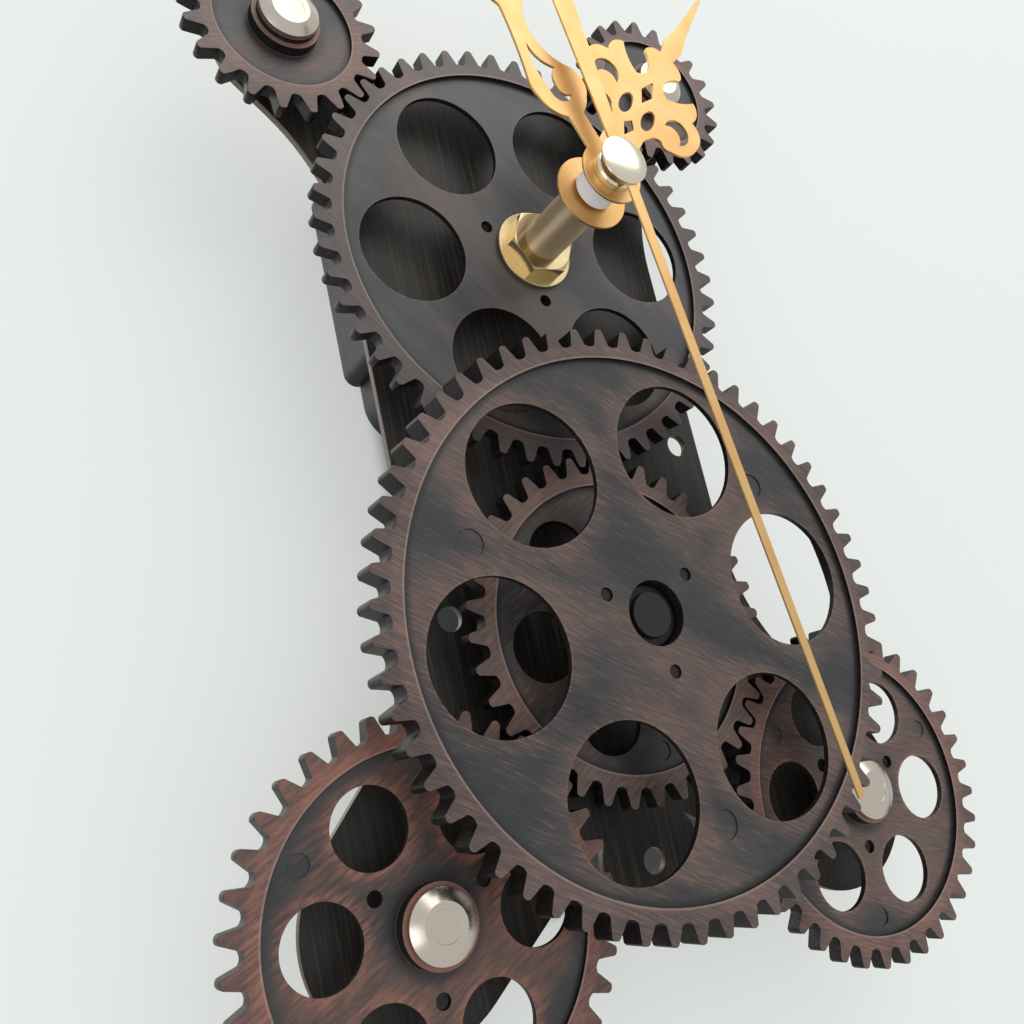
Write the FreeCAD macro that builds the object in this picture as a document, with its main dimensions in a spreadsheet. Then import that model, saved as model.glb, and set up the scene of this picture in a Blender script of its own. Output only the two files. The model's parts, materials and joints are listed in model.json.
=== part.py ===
"""Wall clock with an open train of moulded gears in front of a dark back plate.

X is to the right, Z is up and the viewer stands on the -Y side. The origin is the centre of the
hanger's loop, on the hanger's rear face. Each sub-part is drawn flat, seen from the front, with
its own rear face at height 0, and is then stood up at its place: "front" is the distance of that
rear face in front of the movement's case.
"""
import FreeCAD, Part
import math
import os

import Sketcher
from FreeCAD import Placement, Rotation, Vector

# Driving sizes, in millimetres and degrees, as (name, value)
SIZES = [
    # Gaps shared by all moving pieces
    ("running_gap", 0.3),
    ("running_clearance", 0.05),
    ("press_clearance", 0.02),
    ("cut_overrun", 1.0),
    # Movement case, its cover, the battery and the set knob
    ("case_size", 58.5),
    ("case_corner", 8.0),
    ("case_depth", 15.2),
    ("cover_thickness", 2.0),
    ("bulge_width", 3.0),
    ("bulge_length", 42.0),
    ("bulge_offset", 4.2),
    ("bulge_depth", 12.0),
    ("bulge_corner", 2.5),
    ("battery_radius", 7.25),
    ("battery_length", 49.5),
    ("battery_nub_radius", 2.75),
    ("battery_nub_length", 1.0),
    ("battery_offset", 20.25),
    ("battery_inset", 0.6),
    ("contact_thickness", 0.4),
    ("contact_width", 9.0),
    ("contact_height", 10.0),
    ("knob_radius", 6.5),
    ("knob_thickness", 3.2),
    ("knob_inset", 0.3),
    ("knob_stem_radius", 1.5),
    ("knob_stem_length", 5.0),
    ("knob_right", 14.0),
    ("knob_drop", 15.0),
    ("knob_pocket_margin", 1.5),
    ("knob_flute_radius", 0.8),
    ("knob_flutes", 16),
    ("cover_screw_radius", 1.1),
    ("cover_screw_head_radius", 2.2),
    ("cover_screw_head_height", 1.2),
    ("cover_screw_length", 8.0),
    ("cover_screw_inset", 5.0),
    ("cover_screw_left", 9.0),
    # Hanger plate, clamped between the movement and the back plate
    ("hanger_thickness", 0.8),
    ("hanger_width", 26.0),
    ("hanger_tail", 13.0),
    ("hanger_rise", 5.0),
    ("hanger_overlap", 3.0),
    ("loop_radius", 7.0),
    ("loop_hole_radius", 4.0),
    ("loop_hole_drop", 3.0),
    # Back plate
    ("plate_thickness", 1.5),
    ("plate_half_width", 35.6),
    ("plate_lower_lobe", 18.4),
    ("plate_upper_lobe", 11.0),
    ("plate_lower_slope", 46.0),
    ("plate_upper_slope", 48.0),
    ("plate_fillet", 42.0),
    ("plate_inner_slope", 36.0),
    ("plate_tab_radius", 11.0),
    ("plate_tab_drop", 41.2),
    ("plate_top_rise", 28.0),
    ("plate_hole_radius", 2.3),
    ("plate_hole_right", 30.3),
    ("plate_hole_low", 6.6),
    ("plate_hole_rise", 29.4),
    # Gear train
    ("gear_module", 1.7),
    ("tooth_depth", 3.5),
    ("tooth_tip_width", 1.5),
    ("tooth_root_width", 3.1),
    ("tooth_crown", 0.35),
    ("front_teeth", 60),
    ("side_teeth", 36),
    ("upper_teeth", 50),
    ("top_teeth", 20),
    ("front_tip_growth", 0.4),
    ("upper_profile_shift", 1.7),
    ("upper_tip_cut", 1.0),
    ("side_tip_cut", 0.3),
    ("front_phase", 3.7),
    ("rear_phase", 6.8),
    ("side_direction", 40.0),
    ("top_direction", 45.0),
    ("rim_width", 5.7),
    ("web_recess", 0.85),
    ("gear_lift", 5.1),
    ("gear_thickness", 3.0),
    ("front_gear_thickness", 5.0),
    ("front_gear_lift", 5.1),
    ("web_holes", 6),
    ("pin_holes", 3),
    ("pin_angle", 30.0),
    ("front_hole_radius", 12.84),
    ("front_hole_circle", 32.1),
    ("front_hole_angle", 5.2),
    ("upper_hole_radius", 10.6),
    ("upper_hole_circle", 26.05),
    ("upper_hole_angle", 2.1),
    ("side_hole_radius", 6.2),
    ("side_hole_circle", 17.4),
    ("left_hole_angle", -5.0),
    ("right_hole_angle", -9.0),
    ("pin_circle", 10.4),
    ("pin_radius", 1.2),
    ("pin_recess", 0.5),
    ("ejector_depth", 0.25),
    ("front_ejector_radius", 2.5),
    ("front_ejector_circle", 36.7),
    ("side_ejector_radius", 1.7),
    ("side_ejector_circle", 23.0),
    ("side_boss_radius", 6.25),
    ("side_boss_height", 1.4),
    ("top_boss_radius", 6.5),
    ("top_boss_height", 1.3),
    ("top_boss_step_radius", 5.6),
    ("top_boss_step_height", 1.1),
    # Main hub, its post and its ring
    ("main_post_radius", 4.0),
    ("main_post_flange", 7.0),
    ("main_post_depth", 2.0),
    ("hub_radius", 13.5),
    ("hub_spigot_radius", 5.8),
    ("hub_spigot_height", 0.8),
    ("ring_radius", 5.4),
    ("ring_thickness", 0.8),
    # Posts of the small gears, their caps, and the screws behind all the posts
    ("post_radius", 3.0),
    ("post_flange", 5.5),
    ("cap_radius", 5.5),
    ("cap_flat_radius", 3.5),
    ("cap_thickness", 1.6),
    ("cap_edge", 0.6),
    ("cap_seat_radius", 2.0),
    ("cap_seat_depth", 1.0),
    ("screw_radius", 1.5),
    ("screw_head_radius", 2.8),
    ("screw_head_height", 1.8),
    ("screw_reach", 6.0),
    ("screw_hole_margin", 0.15),
    # Threaded bushing, the sleeve that the upper gear runs on, washer and nut
    ("bushing_radius", 4.0),
    ("bushing_length", 30.0),
    ("bushing_flange", 6.0),
    ("bushing_flange_height", 1.2),
    ("sleeve_radius", 5.8),
    ("sleeve_flange", 8.0),
    ("washer_radius", 8.0),
    ("washer_thickness", 0.8),
    ("nut_flats", 12.0),
    ("nut_height", 3.2),
    ("nut_chamfer", 0.7),
    # Hour hand on its tube
    ("hour_tube_radius", 2.6),
    ("hour_tube_root", 3.0),
    ("hour_tube_stand", 0.3),
    ("hour_hand_thickness", 0.6),
    ("hour_hand_hub", 7.1),
    ("hour_hand_length", 66.0),
    ("hour_angle", 40.1),
    # Minute hand on its collar and tube, held by a round nut
    ("minute_tube_radius", 1.6),
    ("minute_tube_root", 6.0),
    ("minute_tube_inset", 0.2),
    ("collar_radius", 3.9),
    ("collar_length", 5.2),
    ("minute_hand_thickness", 0.6),
    ("minute_hand_hub", 6.0),
    ("minute_hand_length", 92.0),
    ("minute_angle", -23.0),
    ("minute_nut_radius", 4.0),
    ("minute_nut_height", 1.7),
    ("minute_nut_chamfer", 0.4),
    # Second hand on its pipe and shaft, under a domed cap
    ("second_shaft_radius", 0.5),
    ("second_shaft_root", 9.0),
    ("second_shaft_tip", 0.25),
    ("pipe_radius", 1.3),
    ("pipe_length", 0.9),
    ("second_hand_thickness", 0.5),
    ("second_hand_length", 111.3),
    ("second_hand_neck", 1.75),
    ("second_hand_half_width", 1.15),
    ("second_tail_length", 40.0),
    ("second_tail_neck", 1.2),
    ("second_tail_half_width", 2.45),
    ("second_hub_radius", 3.0),
    ("second_angle", 173.0),
    ("second_cap_radius", 4.6),
    ("second_cap_height", 0.9),
    ("second_cap_edge", 0.25),
]

# Distances and levels worked out from the driving sizes, as expressions
BACK_PLATE = "sizes.hanger_thickness"
PLATE_FRONT = f"({BACK_PLATE} + sizes.plate_thickness)"
GEAR_BACK = f"({PLATE_FRONT} + sizes.gear_lift)"
GEAR_FRONT = f"({GEAR_BACK} + sizes.gear_thickness)"
WEB_FRONT = f"({GEAR_FRONT} - sizes.web_recess)"
FRONT_GEAR_BACK = f"({GEAR_FRONT} + sizes.front_gear_lift)"
FRONT_GEAR_FRONT = f"({FRONT_GEAR_BACK} + sizes.front_gear_thickness)"
FLANGE_HEIGHT = "(sizes.gear_lift - sizes.running_gap)"
WEB_HEIGHT = "(sizes.gear_thickness - sizes.web_recess)"
SIDE_BOSS_FRONT = f"({GEAR_FRONT} + sizes.side_boss_height)"
TOP_BOSS_FRONT = f"({GEAR_FRONT} + sizes.top_boss_height + sizes.top_boss_step_height)"
HOUR_HAND_BACK = "(sizes.bushing_length + sizes.running_gap)"
HOUR_TUBE_FRONT = f"({HOUR_HAND_BACK} + sizes.hour_hand_thickness + sizes.hour_tube_stand)"
COLLAR_BACK = f"({HOUR_TUBE_FRONT} + sizes.running_gap)"
MINUTE_HAND_BACK = f"({COLLAR_BACK} + sizes.collar_length)"
MINUTE_NUT_BACK = f"({MINUTE_HAND_BACK} + sizes.minute_hand_thickness)"
MINUTE_NUT_FRONT = f"({MINUTE_NUT_BACK} + sizes.minute_nut_height)"
PIPE_BACK = f"({MINUTE_NUT_FRONT} + sizes.running_gap)"
SECOND_HAND_BACK = f"({PIPE_BACK} + sizes.pipe_length)"
SECOND_CAP_BACK = f"({SECOND_HAND_BACK} + sizes.second_hand_thickness)"

CASE_HALF = "(sizes.case_size / 2)"
UPPER_Z = f"(-{CASE_HALF} - sizes.hanger_rise)"
UPPER_DISTANCE = ("(sizes.gear_module * (sizes.side_teeth + sizes.upper_teeth) / 2"
                  " + sizes.upper_profile_shift)")
SIDE_DISTANCE = "(sizes.gear_module * sizes.side_teeth)"
TOP_DISTANCE = ("(sizes.gear_module * (sizes.upper_teeth + sizes.top_teeth) / 2"
                " + sizes.upper_profile_shift)")
MAIN_Z = f"({UPPER_Z} - {UPPER_DISTANCE})"
SIDE_X = f"({SIDE_DISTANCE} * cos(sizes.side_direction))"
SIDE_Z = f"({MAIN_Z} - {SIDE_DISTANCE} * sin(sizes.side_direction))"
TOP_X = f"({TOP_DISTANCE} * cos(sizes.top_direction))"
TOP_Z = f"({UPPER_Z} + {TOP_DISTANCE} * sin(sizes.top_direction))"

FRONT_TIP = "(sizes.gear_module * (sizes.front_teeth / 2 + 1) + sizes.front_tip_growth)"
SIDE_TIP = "(sizes.gear_module * (sizes.side_teeth / 2 + 1) - sizes.side_tip_cut)"
UPPER_TIP = ("(sizes.gear_module * (sizes.upper_teeth / 2 + 1)"
             " + sizes.upper_profile_shift - sizes.upper_tip_cut)")
TOP_TIP = "(sizes.gear_module * (sizes.top_teeth / 2 + 1) + sizes.press_clearance)"

BAY_LENGTH = ("(sizes.battery_length + sizes.battery_nub_length"
              " + 2 * (sizes.contact_thickness + sizes.running_gap))")
BAY_HALF_WIDTH = "(sizes.battery_radius + sizes.running_gap)"
BAY_DEPTH = ("(sizes.battery_inset + 2 * sizes.battery_radius + sizes.running_gap"
             " - sizes.cover_thickness)")
KNOB_FRONT = "(sizes.knob_inset + sizes.knob_thickness - sizes.cover_thickness)"
KNOB_POCKET_RADIUS = "(sizes.knob_radius + sizes.knob_pocket_margin)"
SCREW_INSET = f"({CASE_HALF} - sizes.cover_screw_inset)"

# Hour hand, right-hand side from the tip down to the hub, as shares of its length:
# each entry is the end of a straight edge, or the middle and end of an arc
HOUR_SIDE_SHARES = [
    ((0.800, 0.021),),
    ((0.727, 0.034),),
    ((0.664, 0.024),),
    ((0.655, 0.052), (0.637, 0.068)),
    ((0.622, 0.070), (0.610, 0.060)),
    ((0.590, 0.043), (0.561, 0.032)),
    ((0.532, 0.040), (0.514, 0.060)),
    ((0.538, 0.100), (0.583, 0.139)),
    ((0.555, 0.166), (0.509, 0.164)),
    ((0.480, 0.208), (0.430, 0.216)),
    ((0.375, 0.195), (0.344, 0.145)),
    ((0.338, 0.126), (0.350, 0.108)),
    ((0.345, 0.086), (0.324, 0.072)),
    ((0.308, 0.062), (0.285, 0.060)),
    ((0.060, 0.052),),
]
HOUR_TIP_SHARE = 0.006
HOUR_CRESCENT_SHARES = [
    (0.418, 0.094), ((0.470, 0.132), (0.391, 0.161)), ((0.428, 0.138), (0.418, 0.094)),
]
HOUR_UPPER_DIAMOND_SHARES = [(0.526, 0.0), (0.473, 0.022), (0.424, 0.0)]
HOUR_LOWER_DIAMOND_SHARES = [(0.336, 0.0), (0.310, 0.019), (0.268, 0.0)]
HOUR_OVAL_SHARES = {"centre": (0.380, 0.042), "half_length": 0.043, "half_width": 0.021}

# Minute hand, left side upwards and right side downwards, as shares of its length
MINUTE_LEFT_SHARES = [
    ((0.128, -0.020),),
    ((0.150, -0.048), (0.185, -0.061)),
    ((0.205, -0.064), (0.222, -0.060)),
    ((0.302, -0.036), (0.376, -0.021)),
    ((0.398, -0.036), (0.412, -0.058)),
    ((0.428, -0.062), (0.434, -0.048)),
    ((0.440, -0.028), (0.470, -0.018)),
    ((0.560, -0.022),),
]
MINUTE_RIGHT_SHARES = [
    ((0.560, 0.022),),
    ((0.470, 0.018),),
    ((0.440, 0.028), (0.434, 0.048)),
    ((0.428, 0.062), (0.412, 0.058)),
    ((0.385, 0.044), (0.370, 0.038)),
    ((0.318, 0.012), (0.276, 0.016)),
    ((0.240, 0.034), (0.222, 0.053)),
    ((0.185, 0.066), (0.154, 0.050)),
    ((0.136, 0.034), (0.128, 0.020)),
    ((0.040, 0.020),),
]
MINUTE_TIP_SHARE = 0.004
MINUTE_OPENING_SHARES = [
    (0.290, -0.014), ((0.258, -0.008), (0.229, 0.018)), ((0.212, 0.000), (0.190, -0.004)),
    ((0.172, 0.004), (0.168, 0.018)), ((0.158, -0.002), (0.190, -0.026)),
    ((0.240, -0.028), (0.290, -0.014)),
]

doc = FreeCAD.newDocument("gear_clock")
parts = []


def fill_sheet():
    """Write the driving sizes to the document's spreadsheet."""
    sheet = doc.addObject("Spreadsheet::Sheet", "sizes")
    for row, (name, value) in enumerate(SIZES, start=1):
        sheet.set(f"A{row}", name)
        sheet.set(f"B{row}", str(value))
        sheet.setAlias(f"B{row}", name)
    doc.recompute()
    return sheet


sizes = fill_sheet()


def size(expression):
    """The value of an expression of the driving sizes."""
    return float(sizes.evalExpression(str(expression)))


def polar(radius, angle, x=0.0, y=0.0):
    """A point at a radius and an angle in degrees round (x, y)."""
    turn = math.radians(angle)
    return Vector(x + radius * math.cos(turn), y + radius * math.sin(turn), 0)


def new_body(name):
    """An empty body that becomes the sub-part of that name."""
    body = doc.addObject("PartDesign::Body", name)
    body.Label = name
    parts.append(body)
    return body


def new_sketch(body, name, height="0", plane="XY_Plane"):
    """A sketch on one of the body's own planes, raised to a height."""
    sketch = body.newObject("Sketcher::SketchObject", name)
    origin = next(item for item in body.Origin.OriginFeatures if item.Role == plane)
    sketch.AttachmentSupport = [(origin, "")]
    sketch.MapMode = "FlatFace"
    if height != "0":
        sketch.setExpression("AttachmentOffset.Base.z", height)
    return sketch


def add_circle(sketch, radius, centre=Vector(0, 0, 0)):
    """A circle whose radius is bound to an expression."""
    circle = sketch.addGeometry(Part.Circle(centre, Vector(0, 0, 1), size(radius)))
    if centre.Length == 0:
        sketch.addConstraint(Sketcher.Constraint("Coincident", circle, 3, -1, 1))
    bound = sketch.addConstraint(Sketcher.Constraint("Radius", circle, size(radius)))
    sketch.setExpression(f"Constraints[{bound}]", radius)


def bind_point(sketch, line, end, x, y):
    """Tie one end of a line to two expressions, each zero or more."""
    rules = [("DistanceX", x, -2), ("DistanceY", y, -1)]
    for rule, expression, axis in rules:
        value = size(expression)
        if value == 0:
            sketch.addConstraint(Sketcher.Constraint("PointOnObject", line, end, axis))
        else:
            bound = sketch.addConstraint(Sketcher.Constraint(rule, -1, 1, line, end, value))
            sketch.setExpression(f"Constraints[{bound}]", expression)


def add_profile(sketch, corners):
    """A closed outline of straight edges whose corners are bound to expressions."""
    points = [Vector(size(x), size(y), 0) for x, y in corners]
    count = len(points)
    lines = [sketch.addGeometry(Part.LineSegment(points[i], points[(i + 1) % count]))
             for i in range(count)]
    for i, line in enumerate(lines):
        following = lines[(i + 1) % count]
        sketch.addConstraint(Sketcher.Constraint("Coincident", line, 2, following, 1))
        bind_point(sketch, line, 1, *corners[i])


def add_path(sketch, start, steps):
    """A chain of lines and arcs: a step is an end point, or a middle and an end point."""
    here = start
    for step in steps:
        if len(step) == 1:
            edge = Part.LineSegment(here, step[0])
        else:
            edge = Part.Arc(here, step[0], step[1])
        sketch.addGeometry(edge)
        here = step[-1]


def add_rounded_box(sketch, left, right, low, high, corner):
    """A rectangle with round corners."""
    middle = corner * (1 - math.sqrt(0.5))
    steps = [
        (Vector(right - corner, low, 0),),
        (Vector(right - middle, low + middle, 0), Vector(right, low + corner, 0)),
        (Vector(right, high - corner, 0),),
        (Vector(right - middle, high - middle, 0), Vector(right - corner, high, 0)),
        (Vector(left + corner, high, 0),),
        (Vector(left + middle, high - middle, 0), Vector(left, high - corner, 0)),
        (Vector(left, low + corner, 0),),
        (Vector(left + middle, low + middle, 0), Vector(left + corner, low, 0)),
    ]
    add_path(sketch, Vector(left + corner, low, 0), steps)


def pad(body, sketch, length):
    """Raise a sketch by a length."""
    feature = body.newObject("PartDesign::Pad", f"{sketch.Name}_pad")
    feature.Profile = sketch
    feature.setExpression("Length", length)
    sketch.Visibility = False
    doc.recompute()
    return feature


def cut(body, sketch, depth=None):
    """Cut a sketch backwards by a depth, or right through."""
    feature = body.newObject("PartDesign::Pocket", f"{sketch.Name}_cut")
    feature.Profile = sketch
    if depth is None:
        feature.Type = 1
    else:
        feature.setExpression("Length", depth)
    sketch.Visibility = False
    doc.recompute()
    return feature


def repeat_round(body, feature, count):
    """Repeat a feature evenly round the body's own axis."""
    pattern = body.newObject("PartDesign::PolarPattern", f"{feature.Name}_ring")
    pattern.Originals = [feature]
    axis = next(item for item in body.Origin.OriginFeatures if item.Role == "Z_Axis")
    pattern.Axis = (axis, [""])
    pattern.Angle = 360
    pattern.setExpression("Occurrences", count)
    body.Tip = pattern
    doc.recompute()
    return pattern


def drill(body, name, radius, height, depth=None, centre=Vector(0, 0, 0)):
    """A round hole cut backwards from a height."""
    sketch = new_sketch(body, name, height)
    add_circle(sketch, radius, centre)
    return cut(body, sketch, depth)


def round_pad(body, name, radius, height, length, centre=Vector(0, 0, 0)):
    """A round pad that starts at a height."""
    sketch = new_sketch(body, name, height)
    add_circle(sketch, radius, centre)
    return pad(body, sketch, length)


def turn_profile(body, name, corners):
    """Turn a half section, given as (radius, height) expressions, round the axis."""
    sketch = new_sketch(body, name, plane="XZ_Plane")
    add_profile(sketch, corners)
    feature = body.newObject("PartDesign::Revolution", f"{name}_turned")
    feature.Profile = sketch
    feature.ReferenceAxis = (sketch, ["V_Axis"])
    feature.Angle = 360
    sketch.Visibility = False
    doc.recompute()
    return feature


def stand(body, x, front, z, clockwise=0.0):
    """Stand a flat-drawn sub-part up, facing the viewer, turned clockwise on its own axis."""
    upright = Rotation(Vector(1, 0, 0), 90)
    body.Placement = Placement(Vector(0, 0, 0), upright.multiply(Rotation(Vector(0, 0, 1), -clockwise)))
    body.setExpression("Placement.Base.x", x)
    body.setExpression("Placement.Base.y", f"-({front})")
    body.setExpression("Placement.Base.z", z)
    doc.recompute()


def gear_outline(sketch, teeth, tip, phase):
    """A ring of tapered teeth with crowned tips, between round-bottomed gaps."""
    depth = size("sizes.tooth_depth")
    crown = size("sizes.tooth_crown")
    root = tip - depth
    tip_half = math.degrees(size("sizes.tooth_tip_width") / 2 / (tip - crown))
    root_half = math.degrees(size("sizes.tooth_root_width") / 2 / (root + crown))
    pitch = 360 / teeth
    steps = []
    for tooth in range(teeth):
        middle = phase + tooth * pitch
        steps.append((polar(tip - crown, middle - tip_half),))
        steps.append((polar(tip, middle), polar(tip - crown, middle + tip_half)))
        steps.append((polar(root + crown, middle + root_half),))
        steps.append((polar(root, middle + pitch / 2), polar(root + crown, middle + pitch - root_half)))
    add_path(sketch, polar(root + crown, phase - root_half), steps)


def make_gear(name, teeth, tip, thickness, phase):
    """The toothed disc of a gear with its recessed web."""
    body = new_body(name)
    outline = new_sketch(body, f"{name}_teeth")
    gear_outline(outline, round(size(teeth)), size(tip), phase)
    pad(body, outline, thickness)
    recess = new_sketch(body, f"{name}_web", thickness)
    add_circle(recess, f"{tip} - sizes.rim_width")
    cut(body, recess, "sizes.web_recess")
    return body


def add_ring(sketch, radius, circle, count, angle):
    """Equal circles, evenly spaced round the axis."""
    total = round(size(count))
    for number in range(total):
        add_circle(sketch, radius, polar(size(circle), angle + number * 360 / total))


def pierce_gear(body, thickness, angle, bore=None, web_hole=None, web_circle=None):
    """Everything that goes right through a gear: its bore, web holes and pin holes."""
    holes = new_sketch(body, f"{body.Name}_holes", thickness)
    if bore:
        add_circle(holes, bore)
    if web_hole:
        add_ring(holes, web_hole, web_circle, "sizes.web_holes", angle)
    add_ring(holes, "sizes.pin_radius + sizes.press_clearance", "sizes.pin_circle",
             "sizes.pin_holes", angle + size("sizes.pin_angle"))
    cut(body, holes)


def mark_ejectors(body, web_height, radius, circle, angle):
    """The three shallow round marks that the mould's ejectors leave."""
    marks = new_sketch(body, f"{body.Name}_ejectors", web_height)
    add_ring(marks, radius, circle, "sizes.pin_holes", angle + size("sizes.pin_angle"))
    cut(body, marks, "sizes.ejector_depth")


def meshing_phase(phase, teeth, mate_teeth, direction):
    """The angle of a tooth of the mate, when the two gears lie in mesh along a direction."""
    return direction + 180 + 180 / mate_teeth - (phase - direction) * teeth / mate_teeth


def make_main_gears():
    """The large front gear, the small rear gear, their hub and the pins through all three."""
    front = make_gear("main_front_gear", "sizes.front_teeth", FRONT_TIP,
                      "sizes.front_gear_thickness", size("sizes.front_phase"))
    angle = size("sizes.front_hole_angle")
    pierce_gear(front, "sizes.front_gear_thickness", angle, "sizes.hub_spigot_radius",
                "sizes.front_hole_radius", "sizes.front_hole_circle")
    mark_ejectors(front, "sizes.front_gear_thickness - sizes.web_recess",
                  "sizes.front_ejector_radius", "sizes.front_ejector_circle", angle)
    stand(front, "0", FRONT_GEAR_BACK, MAIN_Z)

    rear = make_gear("main_rear_gear", "sizes.side_teeth", SIDE_TIP, "sizes.gear_thickness",
                     size("sizes.rear_phase"))
    pierce_gear(rear, "sizes.gear_thickness", angle, "sizes.hub_spigot_radius",
                "sizes.side_hole_radius", "sizes.side_hole_circle")
    mark_ejectors(rear, WEB_HEIGHT, "sizes.side_ejector_radius", "sizes.side_ejector_circle", angle)
    stand(rear, "0", GEAR_BACK, MAIN_Z)

    hub = new_body("main_hub")
    seat = WEB_HEIGHT
    flange_front = "(sizes.gear_thickness + sizes.front_gear_lift)"
    spigot_front = f"({flange_front} + sizes.hub_spigot_height)"
    bore = "(sizes.main_post_radius + sizes.running_clearance)"
    turn_profile(hub, "hub_section", [
        (bore, "0"), ("sizes.hub_spigot_radius", "0"), ("sizes.hub_spigot_radius", seat),
        ("sizes.hub_radius", seat), ("sizes.hub_radius", flange_front),
        ("sizes.hub_spigot_radius", flange_front), ("sizes.hub_spigot_radius", spigot_front),
        (bore, spigot_front),
    ])
    pierce_gear(hub, flange_front, angle)
    stand(hub, "0", GEAR_BACK, MAIN_Z)

    pins = new_body("main_gear_pins")
    pins.AllowCompound = True
    sketch = new_sketch(pins, "pin_circles")
    add_ring(sketch, "sizes.pin_radius", "sizes.pin_circle", "sizes.pin_holes",
             angle + size("sizes.pin_angle"))
    pad(pins, sketch, f"{FRONT_GEAR_FRONT} - {GEAR_BACK} - sizes.web_recess - 2 * sizes.pin_recess")
    stand(pins, "0", f"{GEAR_BACK} + sizes.pin_recess", MAIN_Z)


def make_upper_gear():
    """The gear behind the hands, which runs on a sleeve round the bushing."""
    phase = meshing_phase(size("sizes.rear_phase"), size("sizes.side_teeth"),
                          size("sizes.upper_teeth"), 90)
    gear = make_gear("upper_gear", "sizes.upper_teeth", UPPER_TIP, "sizes.gear_thickness", phase)
    pierce_gear(gear, "sizes.gear_thickness", size("sizes.upper_hole_angle"),
                "sizes.sleeve_radius + sizes.running_clearance",
                "sizes.upper_hole_radius", "sizes.upper_hole_circle")
    stand(gear, "0", GEAR_BACK, UPPER_Z)
    return phase


def make_side_gear(name, side, hole_angle):
    """A lower gear with holes in its web and a boss under its cap."""
    direction = 270 + side * (90 - size("sizes.side_direction"))
    phase = meshing_phase(size("sizes.rear_phase"), size("sizes.side_teeth"),
                          size("sizes.side_teeth"), direction)
    gear = make_gear(name, "sizes.side_teeth", SIDE_TIP, "sizes.gear_thickness", phase)
    angle = size(hole_angle)
    pierce_gear(gear, "sizes.gear_thickness", angle, None,
                "sizes.side_hole_radius", "sizes.side_hole_circle")
    mark_ejectors(gear, WEB_HEIGHT, "sizes.side_ejector_radius", "sizes.side_ejector_circle", angle)
    round_pad(gear, f"{name}_boss", "sizes.side_boss_radius", WEB_HEIGHT,
              "sizes.web_recess + sizes.side_boss_height")
    drill(gear, f"{name}_bore", "sizes.post_radius + sizes.running_clearance",
          "sizes.gear_thickness + sizes.side_boss_height")
    stand(gear, f"{side} * {SIDE_X}", GEAR_BACK, SIDE_Z)


def make_top_gear(name, side, upper_phase):
    """A small upper gear with a stepped boss under its cap."""
    direction = 90 - side * (90 - size("sizes.top_direction"))
    phase = meshing_phase(upper_phase, size("sizes.upper_teeth"), size("sizes.top_teeth"), direction)
    gear = make_gear(name, "sizes.top_teeth", TOP_TIP, "sizes.gear_thickness", phase)
    round_pad(gear, f"{name}_boss", "sizes.top_boss_radius", WEB_HEIGHT,
              "sizes.web_recess + sizes.top_boss_height")
    round_pad(gear, f"{name}_step", "sizes.top_boss_step_radius",
              "sizes.gear_thickness + sizes.top_boss_height", "sizes.top_boss_step_height")
    drill(gear, f"{name}_bore", "sizes.post_radius + sizes.running_clearance",
          "sizes.gear_thickness + sizes.top_boss_height + sizes.top_boss_step_height")
    stand(gear, f"{side} * {TOP_X}", GEAR_BACK, TOP_Z)


def make_gear_post(name, cap_name, boss_front, x, z):
    """A shouldered post on the back plate, and the turned cap pressed on its end."""
    shoulder = f"({boss_front} - {PLATE_FRONT} + sizes.running_gap)"
    top = f"({shoulder} + sizes.cap_seat_depth)"
    screw_top = "sizes.screw_reach"
    post = new_body(name)
    turn_profile(post, f"{name}_section", [
        ("sizes.screw_radius", "0"), ("sizes.post_flange", "0"),
        ("sizes.post_flange", FLANGE_HEIGHT), ("sizes.post_radius", FLANGE_HEIGHT),
        ("sizes.post_radius", shoulder), ("sizes.cap_seat_radius", shoulder),
        ("sizes.cap_seat_radius", top), ("0", top), ("0", screw_top),
        ("sizes.screw_radius", screw_top),
    ])
    stand(post, x, PLATE_FRONT, z)

    cap = new_body(cap_name)
    turn_profile(cap, f"{cap_name}_section", [
        ("sizes.cap_seat_radius", "0"), ("sizes.cap_radius", "0"),
        ("sizes.cap_radius", "sizes.cap_edge"), ("sizes.cap_flat_radius", "sizes.cap_thickness"),
        ("0", "sizes.cap_thickness"), ("0", "sizes.cap_seat_depth"),
        ("sizes.cap_seat_radius", "sizes.cap_seat_depth"),
    ])
    stand(cap, x, f"{PLATE_FRONT} + {shoulder}", z)


def make_main_post():
    """The thick post of the main hub, and the ring that keeps the hub on it."""
    top = f"({FRONT_GEAR_FRONT} - sizes.main_post_depth - {PLATE_FRONT})"
    screw_top = "sizes.screw_reach"
    post = new_body("main_post")
    turn_profile(post, "main_post_section", [
        ("sizes.screw_radius", "0"), ("sizes.main_post_flange", "0"),
        ("sizes.main_post_flange", FLANGE_HEIGHT), ("sizes.main_post_radius", FLANGE_HEIGHT),
        ("sizes.main_post_radius", top), ("0", top), ("0", screw_top),
        ("sizes.screw_radius", screw_top),
    ])
    stand(post, "0", PLATE_FRONT, MAIN_Z)

    ring = new_body("main_retaining_ring")
    turn_profile(ring, "ring_section", [
        ("sizes.main_post_radius", "0"), ("sizes.ring_radius", "0"),
        ("sizes.ring_radius", "sizes.ring_thickness"),
        ("sizes.main_post_radius", "sizes.ring_thickness"),
    ])
    stand(ring, "0", f"{FRONT_GEAR_BACK} + sizes.hub_spigot_height + sizes.running_gap", MAIN_Z)


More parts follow.
